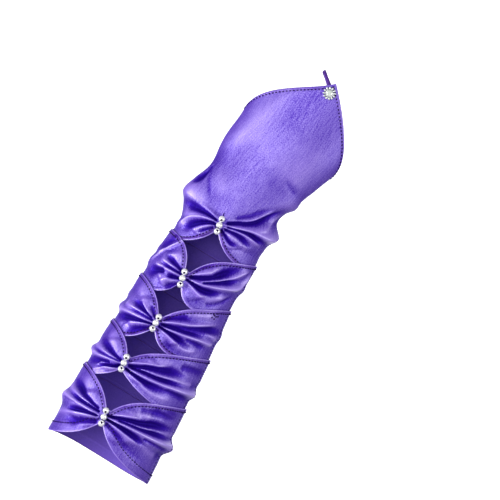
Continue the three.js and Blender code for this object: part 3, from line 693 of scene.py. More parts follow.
# Bands
# Four closed bands of the same satin, one behind the other up the sleeve. Each is drawn together to
# a bow under three beads. Its upper hem lies on the band before it, and both hems are turned under
# and sewn down.
BAND_FOLDS = {
    2: (
        valley(1.4, 2.4, ((-86, -8.6), (-80, -5), (-74.6, 1), (-70, 8)), near=1.4),
        crest(2.4, 2.2, ((-93, -12.5), (-90.4, -9.4), (-86.6, -4.6), (-82.6, 0.4), (-77, 4.6),
                         (-72.4, 7.6)), fade=0.25),
        valley(4.2, 4.0, ((-93, -9.6), (-88.8, -2), (-85, 4.4), (-80.4, 9.8), (-75, 14.4),
                          (-69.6, 19), (-64.6, 24)), near=1.4),
        crest(2.2, 1.5, ((-91, 0.6), (-87, 5.4), (-81.4, 13), (-75, 20), (-68, 25), (-62.6, 28.6)),
              fade=0.2),
        valley(3.4, 2.6, ((-91.4, 1.6), (-88.6, 6.4), (-86, 10.6), (-82.6, 15.6), (-79.4, 20.4),
                          (-74, 25)), near=1.1),
        crest(3.6, 1.6, ((-95.4, -13), (-94.6, -5), (-93.5, 0.4), (-91.8, 5.4), (-89.8, 10.4),
                         (-86.9, 17), (-83.4, 23.4), (-78, 27.8), (-71, 29.6), (-63, 30.4)), fade=0.15),
        valley(4.0, 2.9, ((-96, -10.6), (-96.8, -4), (-97.2, 2), (-96.4, 8), (-94.2, 13.6),
                          (-90, 20)), near=1.3),
        crest(2.2, 2.4, ((-97.6, -11), (-99.2, -5), (-101, 0.4), (-102.2, 7), (-101, 13), (-98, 18),
                         (-93.4, 22.4), (-87, 26)), near=0.7),
        valley(1.6, 2.4, ((-105, 14), (-101, 19.6), (-95, 24.4), (-88, 28)), near=1.8),
        crest(3.2, 1.2, ((-96.4, -16.6), (-96.9, -22), (-97.4, -29), (-97.9, -35), (-98, -40)),
              fade=0.25),
        valley(2.6, 1.5, ((-94.8, -17.4), (-95, -24), (-95.1, -31), (-94.6, -37)), near=0.9),
        crest(1.4, 1.6, ((-92.6, -21), (-92.8, -27), (-92.4, -33), (-92, -38)), near=0.8),
        valley(3.0, 2.4, ((-92.6, -17.4), (-90.8, -24), (-88.8, -30), (-86.8, -36)), near=1.1),
        crest(1.0, 5.5, ((-90, -17.5), (-85.5, -21.5), (-80.5, -27), (-75.5, -31.5)), near=1.6),
        crest(1.9, 0.9, ((-71, -31), (-75.4, -33), (-80.4, -36.2), (-86.4, -39.5), (-92.4, -42),
                         (-99, -44)), near=0.8, fade=0.15),
        valley(1.6, 4.0, ((-70, -37), (-78, -40), (-88, -44)), near=3.4),
        valley(4.4, 2.4, ((-98.2, -16.6), (-99.6, -20), (-101, -24), (-102, -28)), near=1.2),
        valley(4.0, 4.4, ((-99.6, -32), (-102, -36.6), (-105, -40), (-108.6, -43.6)), near=2.4),
        crest(2.6, 1.8, ((-99, -16), (-100.6, -20), (-103.9, -25), (-108.4, -28.4), (-112, -30.4)),
              near=0.7),
        crest(1.0, 3.8, ((-100.4, -29), (-104, -32), (-108, -33.4), (-112, -35)), near=2.4, fade=0.4),
        valley(2.4, 2.9, ((-103.4, -16.4), (-107.6, -20.6), (-112.6, -24.8)), near=1.6),
    ),
    3: (
        crest(1.3, 5.6, ((-134.4, -20.6), (-129.4, -28), (-124, -35), (-117, -43)), near=1.4),
        crest(1.8, 1.1, ((-137, -16.6), (-135.8, -20), (-133.4, -25), (-130, -30), (-127, -34))),
        valley(1.8, 1.9, ((-134.6, -18), (-131, -21.6), (-127.4, -25.6))),
        valley(3.2, 3.6, ((-136.6, -19.6), (-135.2, -25), (-133.8, -30), (-132.4, -35), (-131, -39.6)),
               near=1.1),
        crest(2.0, 2.0, ((-137, -21), (-137, -29), (-137.4, -37), (-136, -43)), near=0.8, fade=0.15),
        valley(2.4, 1.3, ((-138, -18), (-138.3, -26), (-139, -34), (-139.6, -40)), near=0.9),
        crest(3.4, 1.4, ((-139.4, -15.4), (-140.4, -20), (-141.8, -29), (-142.8, -37), (-144.4, -45)),
              fade=0.15),
        valley(4.2, 3.9, ((-140.9, -17), (-143, -25), (-145.2, -33), (-147.6, -40), (-149.6, -47)),
               near=1.0),
        crest(2.3, 1.6, ((-141.2, -15.6), (-142.8, -20), (-145.3, -25), (-147.8, -30), (-151, -34),
                         (-156, -37.4)), fade=0.2),
        crest(1.5, 1.3, ((-143.6, -28.6), (-146.4, -33.4), (-151.8, -39), (-154.6, -41.6)),
              near=0.7, fade=0.25),
        valley(2.8, 3.0, ((-144, -16.4), (-147, -20.6), (-150.6, -25.6), (-155, -30.6), (-158, -34)),
               near=1.6),
        crest(1.2, 3.4, ((-118.4, 6), (-114.6, 14), (-110.4, 22), (-107.6, 28)), near=2.2, fade=0.5),
        valley(2.2, 2.4, ((-131.4, -9), (-127, -3.4), (-124, 2.6), (-120.6, 10)), near=1.6),
        crest(2.8, 1.2, ((-137, -12.6), (-135.2, -10), (-129.8, 0), (-125.5, 10), (-119.8, 20),
                         (-113.3, 30)), fade=0.4),
        valley(3.8, 3.6, ((-137.2, -9.6), (-133.8, 0), (-130.2, 9), (-125.8, 19), (-120.8, 29),
                          (-118.4, 35)), near=1.1),
        crest(1.8, 1.5, ((-134, -2), (-132.4, 2), (-130.2, 10), (-126.2, 20), (-124.6, 28),
                         (-126.6, 34)), near=0.8, fade=0.12),
        valley(3.8, 2.1, ((-137.4, -8), (-135.2, 0), (-133, 9), (-130.4, 19), (-128.4, 28)),
               near=1.0),
        crest(3.4, 1.3, ((-139.2, -12), (-137.6, -1), (-135.3, 9), (-133.1, 19), (-131.6, 29),
                         (-130, 35)), fade=0.2),
        valley(4.4, 2.8, ((-139.4, -10.5), (-139.8, -2), (-140.7, 7), (-142, 14), (-143, 21)),
               near=1.2),
        valley(1.6, 2.6, ((-137.4, 14), (-136.4, 22), (-136.6, 32)), near=1.8),
        crest(2.4, 2.2, ((-140.6, -12), (-142, -2), (-143.4, 5), (-144.9, 12), (-145.1, 18),
                         (-142.6, 24), (-139, 28)), near=0.7, fade=0.25),
        valley(0.9, 3.2, ((-148, 2), (-150.4, 10), (-149, 20), (-145, 29)), near=2.4),
        crest(0.8, 4.0, ((-153, 8), (-150.4, 18), (-146, 28), (-141, 36)), near=3),
    ),
    4: (
        crest(1.4, 5.2, ((-174.4, -24), (-170.6, -29), (-166.6, -35), (-162.6, -43)), near=1.2),
        valley(2.8, 3.2, ((-178.6, -22.6), (-177.2, -29), (-175, -35), (-172.6, -40), (-170.8, -45)),
               near=1.1),
        crest(1.7, 2.2, ((-179, -26), (-179.6, -33), (-178.6, -40), (-176, -46)), near=0.9,
              fade=0.15),
        valley(1.8, 1.2, ((-180.2, -24), (-181.2, -32), (-181.8, -40), (-181.2, -46)), near=0.8),
        crest(3.4, 1.5, ((-180.6, -21.4), (-181.4, -25), (-183, -32), (-184.4, -40), (-184.5, -48)),
              fade=0.12),
        valley(4.4, 1.8, ((-182.4, -22), (-185.6, -25.4), (-187.4, -30), (-190.2, -35), (-193, -39)),
               near=1.2),
        crest(1.6, 1.2, ((-186.4, -31), (-189.2, -35.6), (-192.6, -40)), near=0.7),
        valley(3.2, 3.0, ((-184.4, -30), (-187, -37), (-189.6, -42), (-192, -46)), near=1.2),
        crest(3.2, 1.5, ((-184.2, -18.6), (-185.6, -20.6), (-190.1, -30), (-195.1, -37),
                         (-198, -40)), fade=0.15),
        crest(1.3, 4.2, ((-172, -12), (-166, 0), (-162.4, 8), (-158.4, 17)), near=1.6, fade=0.4),
        crest(2.4, 1.2, ((-178.4, -17.5), (-174.8, -12), (-171, -5), (-168.7, 0), (-165, 9),
                         (-162, 16)), fade=0.3),
        valley(4.0, 3.4, ((-178.8, -14.5), (-175.4, -7), (-171.6, 0), (-168.6, 9), (-165.4, 19),
                          (-162, 31)), near=1.2),
        crest(1.6, 1.6, ((-176, -4), (-174.8, 5), (-172, 15), (-169.4, 24), (-166.2, 37)), near=0.7,
              fade=0.12),
        valley(3.8, 2.2, ((-179, -12), (-176.8, 0), (-175.6, 10), (-173.4, 20), (-170.6, 33)),
               near=1.1),
        crest(3.4, 1.5, ((-181.2, -18), (-180.9, -8), (-180.1, 3), (-178.8, 12), (-176.4, 23),
                         (-173, 37), (-171, 43)), fade=0.12),
        valley(4.4, 2.9, ((-182, -15.6), (-183, -9), (-183.5, 0), (-183.4, 9), (-182.2, 18),
                          (-180, 26)), near=1.2),
        crest(2.2, 2.6, ((-183, -17), (-184, -10), (-185.6, -2), (-187.8, 7), (-188.4, 15),
                         (-187, 24), (-184.4, 32)), near=0.7, fade=0.3),
        valley(1.4, 3.4, ((-180, 22), (-179, 30), (-179, 40)), near=2.2),
        valley(1.2, 3.6, ((-158, 24), (-155, 32), (-153, 40)), near=2.8),
    ),
    5: (
        crest(1.0, 5.4, ((-216.6, -20), (-212.4, -26), (-207, -34), (-203, -42)), near=1.2),
        valley(3.2, 3.2, ((-220.4, -18), (-218.8, -25), (-217, -32), (-213.2, -39.4), (-209, -46)),
               near=1.1),
        crest(1.8, 2.4, ((-220.4, -26), (-220, -33), (-218.4, -40), (-215.6, -47)), near=0.8,
              fade=0.15),
        valley(3.4, 1.7, ((-222.2, -16.4), (-222.4, -26), (-222.3, -34), (-220.6, -43)), near=0.9),
        crest(3.4, 1.3, ((-224.6, -14.0), (-225.3, -20), (-225.4, -30), (-225.2, -39), (-224, -47)),
              fade=0.12),
        valley(1.2, 1.1, ((-226.4, -34), (-226.8, -40), (-226.8, -46)), near=0.9),
        valley(4.2, 2.2, ((-226, -16), (-227.8, -25), (-231.2, -34), (-234.4, -41)), near=1.1),
        crest(3.0, 1.8, ((-226.4, -14), (-229.4, -20.4), (-233.1, -30), (-237.3, -40), (-240, -46)),
              fade=0.15),
        valley(2.6, 3.6, ((-230.6, -14.8), (-235.6, -24.4), (-239.6, -32), (-242.6, -40)), near=1.6),
        crest(1.4, 4.0, ((-213.4, 2), (-208.6, 9), (-205.2, 17), (-203.6, 25)), near=2.0, fade=0.3),
        crest(2.4, 1.2, ((-221.6, -11), (-219.4, -5), (-216.2, 0), (-213.9, 5), (-211.6, 10),
                         (-209.4, 17)), fade=0.4),
        valley(1.5, 4.4, ((-203.6, 14), (-199.4, 25), (-196, 34), (-193, 42)), near=2.4),
        valley(4.4, 3.4, ((-221.4, -8), (-218.7, 0), (-215.8, 9), (-212.8, 19.6), (-208.8, 30),
                          (-204.4, 43)), near=1.2),
        crest(1.6, 1.8, ((-218, 6), (-216.8, 15), (-214.2, 24), (-211.4, 32), (-209, 45)), near=0.7,
              fade=0.1),
        valley(3.6, 2.2, ((-220.2, 2), (-218.6, 12), (-217, 22), (-215.2, 31), (-212.8, 43)),
               near=1.0),
        crest(3.6, 1.3, ((-223.6, -12), (-222.5, -1), (-221.1, 9), (-220.1, 20), (-219, 30),
                         (-217.3, 40), (-215.4, 49)), fade=0.1),
        valley(4.6, 3.0, ((-224.6, -8.5), (-224.2, 3), (-224.8, 12), (-225.8, 22), (-226.8, 31)),
               near=1.2),
        valley(1.8, 2.0, ((-222.4, 26), (-221.8, 35), (-221.4, 46)), near=1.4),
        crest(2.8, 1.3, ((-225.4, -10.6), (-226, 0), (-227, 10), (-228.3, 20), (-229.6, 27)),
              fade=0.3),
        valley(1.7, 2.6, ((-227.8, -5), (-230.4, 4), (-233, 11), (-235.6, 19)), near=1.6),
        crest(1.4, 4.2, ((-227, 20), (-229, 29), (-230.4, 36), (-230.6, 43)), near=3, fade=0.25),
        valley(0.9, 3.0, ((-235.4, 16), (-237.6, 27), (-238.4, 38)), near=2.4),
    ),
}
BAND_FAR_FOLDS = {
    2: ((0, 0, 0), (0.25, 0.2, 0), (0.45, 0.5, 0), (0.56, 0, 0.4), (0.69, 0.2, 0), (0.83, 0, 0.3),
        (1, 0, 0)),
    3: ((0, 0, 0), (0.22, 0.2, 0), (0.33, 0, 0), (0.43, 0.9, 0), (0.56, 0, 0.4), (0.69, 0.3, 0),
        (0.83, 0, 0.2), (1, 0, 0)),
    4: ((0, 0, 0), (0.12, 0, 0), (0.22, 0.2, 0), (0.32, 0.2, 0), (0.43, 1.1, 1.1), (0.56, 0, 0),
        (0.7, 0, 0.2), (0.85, 0, 0), (1, 0, 0)),
    5: ((0, 0, 0), (0.14, 0, 0), (0.26, 0.3, 0), (0.38, 0.2, 0), (0.5, 1.3, 1.9), (0.62, 0.3, 0),
        (0.74, 0, 0.2), (0.87, 0, 0), (1, 0, 0)),
}
BAND_ROWS = np.unique(np.concatenate([
    np.linspace(0, 0.1, 14), np.linspace(0.1, 0.9, 62), np.linspace(0.9, 1, 14),
]))
ELBOW_FACING = 8
BLIND_HEMS = (2, 4)    # lower hems caught from inside, with no stitch through the face
band_strips = {}
for number in (2, 3, 4, 5):
    last = number == 5
    lower_tone = 0.1 if last or number in BLIND_HEMS else 0.75
    # A strip's tone is where its painted shade starts: 0.51 paints the bands a little darker than the
    # hand panel at 0.5.
    strip = dict(gather=number - 1, lower="elbow_hem" if last else f"lower_{number}",
                 upper=f"upper_{number}", folds=BAND_FOLDS[number],
                 far_folds=BAND_FAR_FOLDS[number], rows=BAND_ROWS,
                 lower_inset=ELBOW_FACING if last else STITCH_INSET, upper_inset=STITCH_INSET,
                 lower_tone=lower_tone, upper_tone=0.45, tone=0.51,
                 below=band_strips.get(number - 1, hand_strip))
    strip["edges"] = strip_edges(strip)
    band = cloth_piece(f"band_{number}_cloth", strip)
    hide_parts(f"band_{number}")
    band_strips[number] = strip

# Hem stitches
# The hems are stitched down by machine with a darker thread. Each stitch is a short dark dash,
# wider and darker than the thread, so that it also paints the shade of the pucker it pulls in.
STITCH_PITCH = 2.9
STITCH_LENGTH = 1.8
STITCH_WIDTH = 1.2
STITCH_LIFT = 0.3
PATCH_TURNS = (56, 68)
PATCH_REACH = 4.5
PATCH_SWINGS = 60
PATCH_SAMPLES = 80
HEM_SAMPLES = 1500
SEAM_SAMPLES = 200
INSET_HALVINGS = 24
# Matt thread, nearly black: its own dark colour, and painted shade of the pucker round each stitch.
stitch_thread, tree, output = new_material("polyester_sewing_thread")
place = add_node(tree, "ShaderNodeTexCoord").outputs["Object"]
ply = add_node(tree, "ShaderNodeTexWave", values={"Vector": place, "Scale": 600, "Distortion": 1})
twist = tone_ramp(tree, ply.outputs["Fac"], ((0, "#16033c"), (1, "#2a0c5c")))
thread_shader = add_node(tree, "ShaderNodeBsdfPrincipled", values={
    "Base Color": twist, "Roughness": 0.8, "Specular IOR Level": 0.15})
tree.links.new(thread_shader.outputs["BSDF"], output.inputs["Surface"])


def inset_share(strip, upper, turn, inset):
    """The share of a strip's width that lies at an inset from one of its hems."""
    edge = strip["edges"][-1 if upper else 0]
    low = np.full_like(turn, 0.7 if upper else 0.3)
    high = np.full_like(turn, 1.0 if upper else 0.0)
    for _ in range(INSET_HALVINGS):
        middle = (low + high) / 2
        x, bearing = strip_place(strip, turn, middle)
        inside = edge_gap(edge, x, bearing) > inset
        low = np.where(inside, middle, low)
        high = np.where(inside, high, middle)
    return (low + high) / 2


def stitched(name, path):
    """Stitches in a row along a path on the cloth."""
    lengths = np.concatenate([[0], np.cumsum(np.linalg.norm(np.diff(path, axis=0), axis=1))])
    marks = np.arange(STITCH_PITCH / 2, lengths[-1], STITCH_PITCH)
    places = np.stack([np.interp(marks, lengths, path[:, i]) for i in range(3)], axis=1)
    ends = np.stack([np.interp(marks + 0.5, lengths, path[:, i]) for i in range(3)], axis=1)
    bm = bmesh.new()
    for middle, ahead in zip(places, ends):
        along = Vector(ahead - middle).normalized()
        turned = along.to_track_quat("X", "Z").to_matrix().to_4x4()
        size = Matrix.Diagonal((STITCH_LENGTH / 2, STITCH_WIDTH / 2, STITCH_WIDTH / 2, 1))
        bmesh.ops.create_uvsphere(bm, u_segments=6, v_segments=5, radius=1,
                                  matrix=Matrix.Translation(middle) @ turned @ size)
    return finished_object(name, bm, (stitch_thread,))


def stitch_line(name, strip, upper, inset):
    """A row of stitches along one hem of a strip."""
    turn = np.linspace(-math.pi, math.pi, HEM_SAMPLES)
    share = inset_share(strip, upper, turn, inset)
    return stitched(name, strip_surface(strip, turn, share, STITCH_LIFT))


def seam_line(name, strip):
    """The stitches of the seam that closes a band, along its inner side."""
    share = np.linspace(0, 1, SEAM_SAMPLES)
    turn = np.full_like(share, SEAM_BEARING) - strip["edges"][0]["middle"]
    return stitched(name, strip_surface(strip, turn, share, STITCH_LIFT / 2))


stitch_line("flap_stitches", hand_strip, True, hand_strip["upper_inset"])
stitch_line("panel_lower_stitches", hand_strip, False, STITCH_INSET)
for number, strip in band_strips.items():
    stitch_line(f"band_{number}_upper_stitches", strip, True, strip["upper_inset"])
    if number not in BLIND_HEMS:
        stitch_line(f"band_{number}_lower_stitches", strip, False, strip["lower_inset"])
    seam_line(f"band_{number}_seam_stitches", strip)
# Under the upper hem of band 3, on the inner side, a few stitches run twice, in a zigzag.
patch_turn = np.linspace(*PATCH_TURNS, PATCH_SAMPLES) * DEGREE
patch_inset = STITCH_INSET + PATCH_REACH * (1 + np.sin(PATCH_SWINGS * patch_turn)) / 2
patch_share = inset_share(band_strips[3], True, patch_turn, patch_inset)
stitched("band_3_doubled_stitches",
         strip_surface(band_strips[3], patch_turn, patch_share, STITCH_LIFT))

# Beads
# Three glass pearls with a silvery coating lie over each gather, sewn on one thread through their
# bores. They are round, drilled and glossy.
BEAD_DIAMETER = 5.4
BEAD_BORE = 1.9
BEAD_RINGS = 14
BEAD_SIDES = 28
# A silvery coat over glass: bright all over, with one sharp light on it.
pearl = mottled("coated_glass_pearl", 500, ("#e6e6f0", "#ffffff"), {
    "Metallic": 0.5, "Roughness": 0.2, "Coat Weight": 0.6, "Coat Roughness": 0.08})


def node_middle(node):
    """The middle of a node of the frame, in metres."""
    low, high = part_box(node)
    return (low + high) / 2


def bead_piece(name, middle, bore):
    """A drilled bead, spun from its profile round the bore."""
    radius = BEAD_DIAMETER / 2
    mouth = math.asin(BEAD_BORE / 2 / radius)
    bm = bmesh.new()
    verts = []
    for step in range(BEAD_RINGS + 1):
        angle = mouth + (math.pi - 2 * mouth) * step / BEAD_RINGS
        verts.append(bm.verts.new((radius * math.sin(angle), 0, radius * math.cos(angle))))
    for a, b in zip(verts, verts[1:]):
        bm.edges.new((a, b))
    bm.edges.new((verts[-1], verts[0]))
    bmesh.ops.spin(bm, geom=bm.verts[:] + bm.edges[:], axis=(0, 0, 1), cent=(0, 0, 0), steps=BEAD_SIDES,
                   angle=2 * math.pi, use_merge=True)
    bmesh.ops.recalc_face_normals(bm, faces=bm.faces)
    # The bore's wall takes the dark thread's material: the thread runs through it, and its darkness
    # also paints the shade deep in the bore.
    for face in bm.faces:
        in_bore = all(math.hypot(*v.co[:2]) < BEAD_BORE / 2 + 0.01 for v in face.verts)
        face.material_index = int(in_bore)
    turned = bore.to_track_quat("Z", "Y").to_matrix().to_4x4()
    bmesh.ops.transform(bm, matrix=Matrix.Translation(middle / MM) @ turned, verts=bm.verts)
    return finished_object(name, bm, (pearl, stitch_thread))


# Each bead's bore leans off the thread's line, out of the cloth, in degrees.
BORE_LEANS = {"a": -60, "b": -15, "c": 76}
for number in range(1, 6):
    first = node_middle(f"bead_{number}a")
    last = node_middle(f"bead_{number}c")
    line = (first - last).normalized()
    across = line.cross(Vector((0, 0, 1))).normalized()
    for letter, lean in BORE_LEANS.items():
        bore = Matrix.Rotation(lean * DEGREE, 3, across) @ line
        bead = bead_piece(f"bead_{number}{letter}_pearl", node_middle(f"bead_{number}{letter}"), bore)
        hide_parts(f"bead_{number}{letter}")
    for slot_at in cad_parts[f"bead_thread_{number}"].material_slots:
        slot_at.material = stitch_thread

# The sewing thread's cut ends stand out beside the upper bead of two gathers.
THREAD_END = (1.7, 0.42, 0.42)
THREAD_END_OUT = 0.7     # how far its middle stands out of the bead, in its own half lengths
for number in (1, 4):
    first = node_middle(f"bead_{number}a") / MM
    line = (first - node_middle(f"bead_{number}c") / MM).normalized()
    end_at = first + line * (BEAD_DIAMETER / 2 + THREAD_END[0] * THREAD_END_OUT)
    turned = line.to_track_quat("X", "Z").to_matrix().to_4x4()
    bm = bmesh.new()
    bmesh.ops.create_uvsphere(bm, u_segments=10, v_segments=8, radius=1, matrix=(
        Matrix.Translation(end_at) @ turned @ Matrix.Diagonal((*THREAD_END, 1))))
    finished_object(f"thread_end_{number}", bm, (stitch_thread,))

# Finger loop
# A narrow tube of the same satin, turned right side out and pressed flat. Both ends are sewn under
# the flap's point, and it stands beyond the point in a ring.
LOOP_WIDTH = 2.6
STRAP_WIDTH = 3.3
LOOP_THICKNESS = 1.2
LOOP_SIDES = 12
LOOP_REACH = 3.5
LOOP_SLANT = 0.72
LOOP_BORE = 17.5
LOOP_OFFSET = 3.5
SEAT_GAP = 0.3
LOOP_START = ((3.3, -1), (1.9, -1.4))
LOOP_RING = (-58, -90, -135, 180, 135, 90, 62)
LOOP_FINISH = ((3.9, 1.6), (3.9, 0.8))
LOOP_STEPS = 120
LOOP_WIDE_WAY = (1.0, -0.4, 0.0)
# The loop's satin is coloured darker than the bows, with little gloss.
loop_satin = mottled("pressed_satin_tube", 700, ("#300c64", "#5e2ea0"), {
    "Metallic": 0.3, "Roughness": 0.42}, detail=3, bump=0.2)


def under_flap(back, across):
    """A point under the flap, back from its point and across it, in loop widths."""
    x = FLAP_LENGTH - back * LOOP_WIDTH
    bearing = FLAP_BEARING + across * LOOP_WIDTH / (FLAP_WIDTH / 2)
    return form_point(np.array([x]), np.array([bearing]), -SEAT_GAP - LOOP_WIDTH / 2)[0]


ring = LOOP_BORE / 2 + LOOP_WIDTH / 2
loop_top = under_flap(0, 0)
ring_middle = (FLAP_LENGTH + LOOP_REACH, loop_top[1] + LOOP_OFFSET, loop_top[2] - ring)
route = [under_flap(*place) for place in LOOP_START]
for angle in LOOP_RING:
    y = ring_middle[1] - ring * math.sin(angle * DEGREE)
    x = ring_middle[0] - LOOP_SLANT * (ring_middle[1] + ring - y)
    z = ring_middle[2] + ring * math.cos(angle * DEGREE)
    route.append(np.array([x, y, z]))
route += [under_flap(*place) for place in LOOP_FINISH]
knots = np.arange(len(route), dtype=float)
fine_route = smooth_rows(knots, np.array(route), np.linspace(0, len(route) - 1, LOOP_STEPS))
fine_wide = np.tile(LOOP_WIDE_WAY, (len(fine_route), 1))
tangents = np.gradient(fine_route, axis=0)
tangents /= np.linalg.norm(tangents, axis=1)[:, None]
fine_wide -= (fine_wide * tangents).sum(axis=1)[:, None] * tangents
fine_wide /= np.linalg.norm(fine_wide, axis=1)[:, None]
thick_ways = np.cross(tangents, fine_wide)
bm = bmesh.new()
bmesh.ops.create_grid(bm, x_segments=LOOP_SIDES, y_segments=len(fine_route) - 1, size=0.5)
for vert in bm.verts:
    angle = 2 * math.pi * (vert.co.x + 0.5)
    i = round((vert.co.y + 0.5) * (len(fine_route) - 1))
    across = STRAP_WIDTH / 2 * math.cos(angle) * fine_wide[i]
    through = LOOP_THICKNESS / 2 * math.sin(angle) * thick_ways[i]
    vert.co = fine_route[i] + across + through
bmesh.ops.remove_doubles(bm, verts=bm.verts, dist=0.001)
bmesh.ops.holes_fill(bm, edges=bm.edges)
bmesh.ops.recalc_face_normals(bm, faces=bm.faces)
finger_loop = finished_object("finger_loop_satin", bm, (loop_satin,))
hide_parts("finger_loop")

# Button
# A small cast flower in silver-coloured metal, sewn on at the flap's point: twelve petals with a
# tiny stone on each, over a near-black plate of painted shade, and a collar with claws round one
# cut glass stone.
BUTTON_DIAMETER = 11.2
BUTTON_INSET = 9.6
PETALS = 12
PETAL_SIZE = (1.5, 1.08, 0.6)
PETAL_TIP = 0.35
PETAL_NECK = 0.45
PETAL_SEAT = 0.2
PLATE_RADIUS = 4.5
PLATE_THICKNESS = 0.5
PLATE_BEVEL = 0.3
COLLAR_RADIUS = 2.95
COLLAR_WIDTH = 0.3
COLLAR_HEIGHT = 1.25
COLLAR_RISE = 0.45
COLLAR_SIDES = 10
COLLAR_STEPS = 72
CLAWS = 4
CLAW_RADIUS = 0.34
CLAW_HEIGHT = 1.75
CHIP_SIZE = (0.62, 0.62, 0.42)
CHIP_SIDES = 6
CHIP_REACH = 4.45
CHIP_SEAT = 0.55
STONE_RADIUS = 2.75
STONE_HEIGHT = 1.5
STONE_SIDES = 10
STONE_SEAT = 0.7
BUTTON_LIFT = 0.2
# Bright plating over a cast flower: cool grey, and mirror-like on every petal.
silver = mottled("silver_plated_casting", 900, ("#a8aab4", "#eceef4"), {
    "Metallic": 0.8, "Roughness": 0.25})
# The plate under the petals is near black, painted shade so that the gaps between them look deep.
petal_gap_shade = mottled("painted_shade_under_petals", 1200, ("#08080e", "#26263a"), {
    "Roughness": 0.6, "Specular IOR Level": 0.2})
# Cut glass with a foil back: milky, a little green, and bright on one facet at a time.
paste = mottled("cut_glass_stone", 500, ("#b9c6bc", "#f4fbf4"), {
    "Roughness": 0.06, "Metallic": 0.35, "Coat Weight": 0.8})


STONE_LEVELS = ((1, 0, 0), (1, 0.35, 0), (0.8, 0.75, 0.5), (0.5, 1, 0))    # radius, height and turn


def cut_stone(bm, size, sides, matrix):
    """A stone with a flat table and crown facets, as the hull of its corners."""
    corners = []
    for radius, height, turn in STONE_LEVELS:
        for side in range(sides):
            angle = 2 * math.pi * (side + turn) / sides
            corner = Vector((radius * math.cos(angle), radius * math.sin(angle), height))
            corners.append(bm.verts.new(matrix @ Vector(a * b for a, b in zip(corner, size))))
    bmesh.ops.convex_hull(bm, input=corners)


button_x = np.array([FLAP_LENGTH - BUTTON_INSET])
button_bearing = np.array([FLAP_BEARING])
seat = Vector(form_point(button_x, button_bearing, SURFACE_HEIGHT)[0])
up_flap = Vector(form_point(button_x + 1, button_bearing, SURFACE_HEIGHT)[0]) - seat
to_inner = Vector(form_point(button_x, button_bearing + DEGREE, SURFACE_HEIGHT)[0]) - seat
out = to_inner.cross(up_flap).normalized()
if out.z < 0:
    out.negate()
along = (up_flap - out * up_flap.dot(out)).normalized()
on_flap = Matrix((along, out.cross(along), out)).transposed().to_4x4()
on_flap = Matrix.Translation(seat + out * BUTTON_LIFT) @ on_flap

bm = bmesh.new()
bmesh.ops.create_cone(bm, cap_ends=True, segments=48, radius1=PLATE_RADIUS,
                      radius2=PLATE_RADIUS - PLATE_BEVEL, depth=PLATE_THICKNESS,
                      matrix=on_flap @ Matrix.Translation((0, 0, PLATE_THICKNESS / 2)))
# The plate's faces take the painted shade.
for one in bm.faces:
    one.material_index = 1
for petal in range(PETALS):
    around = Matrix.Rotation(2 * math.pi * petal / PETALS, 4, "Z")
    reach = BUTTON_DIAMETER / 2 - PETAL_SIZE[0]
    placed = on_flap @ around @ Matrix.Translation((reach, 0, PLATE_THICKNESS + PETAL_SEAT))
    made = bmesh.ops.create_uvsphere(bm, u_segments=14, v_segments=8, radius=1)
    for vert in made["verts"]:
        x, y, z = vert.co
        taper = 1 - PETAL_TIP * (x**3 + 1) / 2 - PETAL_NECK * max(0, -x)
        vert.co = placed @ Vector((x * PETAL_SIZE[0], y * PETAL_SIZE[1] * taper, z * PETAL_SIZE[2]))
profile = []
for k in range(COLLAR_SIDES):
    angle = 2 * math.pi * k / COLLAR_SIDES
    reach = COLLAR_RADIUS + COLLAR_WIDTH * math.cos(angle)
    profile.append(bm.verts.new(
        on_flap @ Vector((reach, 0, COLLAR_HEIGHT + COLLAR_RISE * math.sin(angle)))))
edges = [bm.edges.new(pair) for pair in zip(profile, profile[1:] + profile[:1])]
bmesh.ops.spin(bm, geom=profile + edges, axis=out, cent=on_flap.translation, steps=COLLAR_STEPS,
               angle=2 * math.pi, use_merge=True)
for claw in range(CLAWS):
    around = Matrix.Rotation(2 * math.pi * (claw + 0.5) / CLAWS, 4, "Z")
    placed = on_flap @ around @ Matrix.Translation((STONE_RADIUS, 0, CLAW_HEIGHT))
    bmesh.ops.create_uvsphere(bm, u_segments=10, v_segments=6, radius=CLAW_RADIUS, matrix=placed)
bmesh.ops.recalc_face_normals(bm, faces=bm.faces)
button = finished_object("button_setting_casting", bm, (silver, petal_gap_shade))
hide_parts("button_setting")

bm = bmesh.new()
cut_stone(bm, (STONE_RADIUS, STONE_RADIUS, STONE_HEIGHT), STONE_SIDES,
          on_flap @ Matrix.Translation((0, 0, STONE_SEAT)))
stone = finished_object("button_stone_glass", bm, (paste,), faceted=True)
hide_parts("button_stone")

bm = bmesh.new()
for petal in range(PETALS):
    around = Matrix.Rotation(2 * math.pi * petal / PETALS, 4, "Z")
    placed = on_flap @ around @ Matrix.Translation((CHIP_REACH, 0, PLATE_THICKNESS + CHIP_SEAT))
    cut_stone(bm, CHIP_SIZE, CHIP_SIDES, placed)
finished_object("button_petal_stones", bm, (paste,), faceted=True)

# Studio
# A plain pale floor far below the glove, a soft light over it and one from either side.
FLOOR_REACH = 0.6
FLOOR_DROP = 1.2
floor_paint, tree, output = new_material("pale_floor")
floor_shader = add_node(tree, "ShaderNodeBsdfPrincipled", values={
    "Base Color": linear("#fbfbfb"), "Roughness": 0.9, "Emission Color": linear("#ffffff"),
    "Emission Strength": 0.8})
tree.links.new(floor_shader.outputs["BSDF"], output.inputs["Surface"])
bm = bmesh.new()
bmesh.ops.create_grid(bm, x_segments=1, y_segments=1, size=FLOOR_REACH)
bmesh.ops.translate(bm, vec=(0, 0, -FLOOR_DROP), verts=bm.verts)
mesh = bpy.data.meshes.new("floor")
bm.to_mesh(mesh)
bm.free()
mesh.materials.append(floor_paint)
floor = bpy.data.objects.new("floor", mesh)
bpy.context.collection.objects.link(floor)

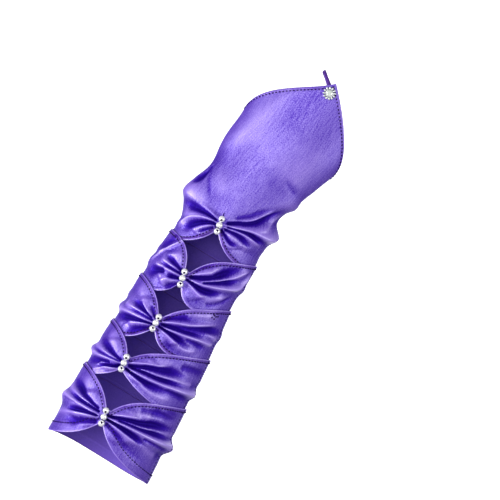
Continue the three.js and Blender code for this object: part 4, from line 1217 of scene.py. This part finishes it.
# The camera looks straight down on the bows, turned so that the sleeve runs from the lower left to
# the upper right.
VIEW_MIDDLE = Vector((-0.0496, -0.0192, 0))
VIEW_RIGHT = Vector((0.524, -0.852, 0)).normalized()
VIEW_UP = Vector((0.852, 0.524, 0)).normalized()
VIEW_HEIGHT = 6
VIEW_WIDTH = 0.4
VIEW_LEVEL = 0.02


def facing(place, target):
    """A matrix at a place, looking at a target."""
    turned = (target - place).to_track_quat("-Z", "Y").to_matrix().to_4x4()
    return Matrix.Translation(place) @ turned


camera_data = bpy.data.cameras.new("camera")
camera_data.angle = 2 * math.atan(VIEW_WIDTH / 2 / (VIEW_HEIGHT - VIEW_LEVEL))
camera = bpy.data.objects.new("camera", camera_data)
bpy.context.collection.objects.link(camera)
out_of_view = VIEW_RIGHT.cross(VIEW_UP)
turned = Matrix((VIEW_RIGHT, VIEW_UP, out_of_view)).transposed().to_4x4()
camera.matrix_world = Matrix.Translation(VIEW_MIDDLE + Vector((0, 0, VIEW_HEIGHT))) @ turned
bpy.context.scene.camera = camera

# Each light: its size, power and place, along the view's right, its top and out of the page.
LIGHTS = {
    "key": (1.2, 18, (-0.35, 0.3, 1.9)),
    "left": (1.8, 43, (-1.9, 0.2, 0.8)),
    "right": (1.4, 15, (1.7, -0.3, 1.0)),
}
for name, (size, power, (right, up, out)) in LIGHTS.items():
    light_data = bpy.data.lights.new(name, "AREA")
    light_data.shape = "DISK"
    light_data.size = size
    light_data.energy = power
    light = bpy.data.objects.new(name, light_data)
    bpy.context.collection.objects.link(light)
    place = VIEW_MIDDLE + VIEW_RIGHT * right + VIEW_UP * up + Vector((0, 0, out))
    light.matrix_world = facing(place, VIEW_MIDDLE)
world = bpy.data.worlds.new("studio")
world.use_nodes = True
tree = world.node_tree
seen = add_node(tree, "ShaderNodeLightPath").outputs["Is Camera Ray"]
way = add_node(tree, "ShaderNodeTexCoord").outputs["Generated"]
height = add_node(tree, "ShaderNodeSeparateXYZ", values={"Vector": way}).outputs["Z"]
sky = add_node(tree, "ShaderNodeMapRange", values={
    "Value": height, "From Min": -0.3, "From Max": 0.5, "To Min": 0.34, "To Max": 0.45})
level = add_node(tree, "ShaderNodeMix", {"data_type": "FLOAT"}, {
    0: seen, 2: sky.outputs["Result"], 3: 1.0})
tree.links.new(level.outputs[0], tree.nodes["Background"].inputs["Strength"])
tree.nodes["Background"].inputs["Color"].default_value = linear("#ffffff")
bpy.context.scene.world = world
bpy.context.scene.view_settings.view_transform = "Standard"
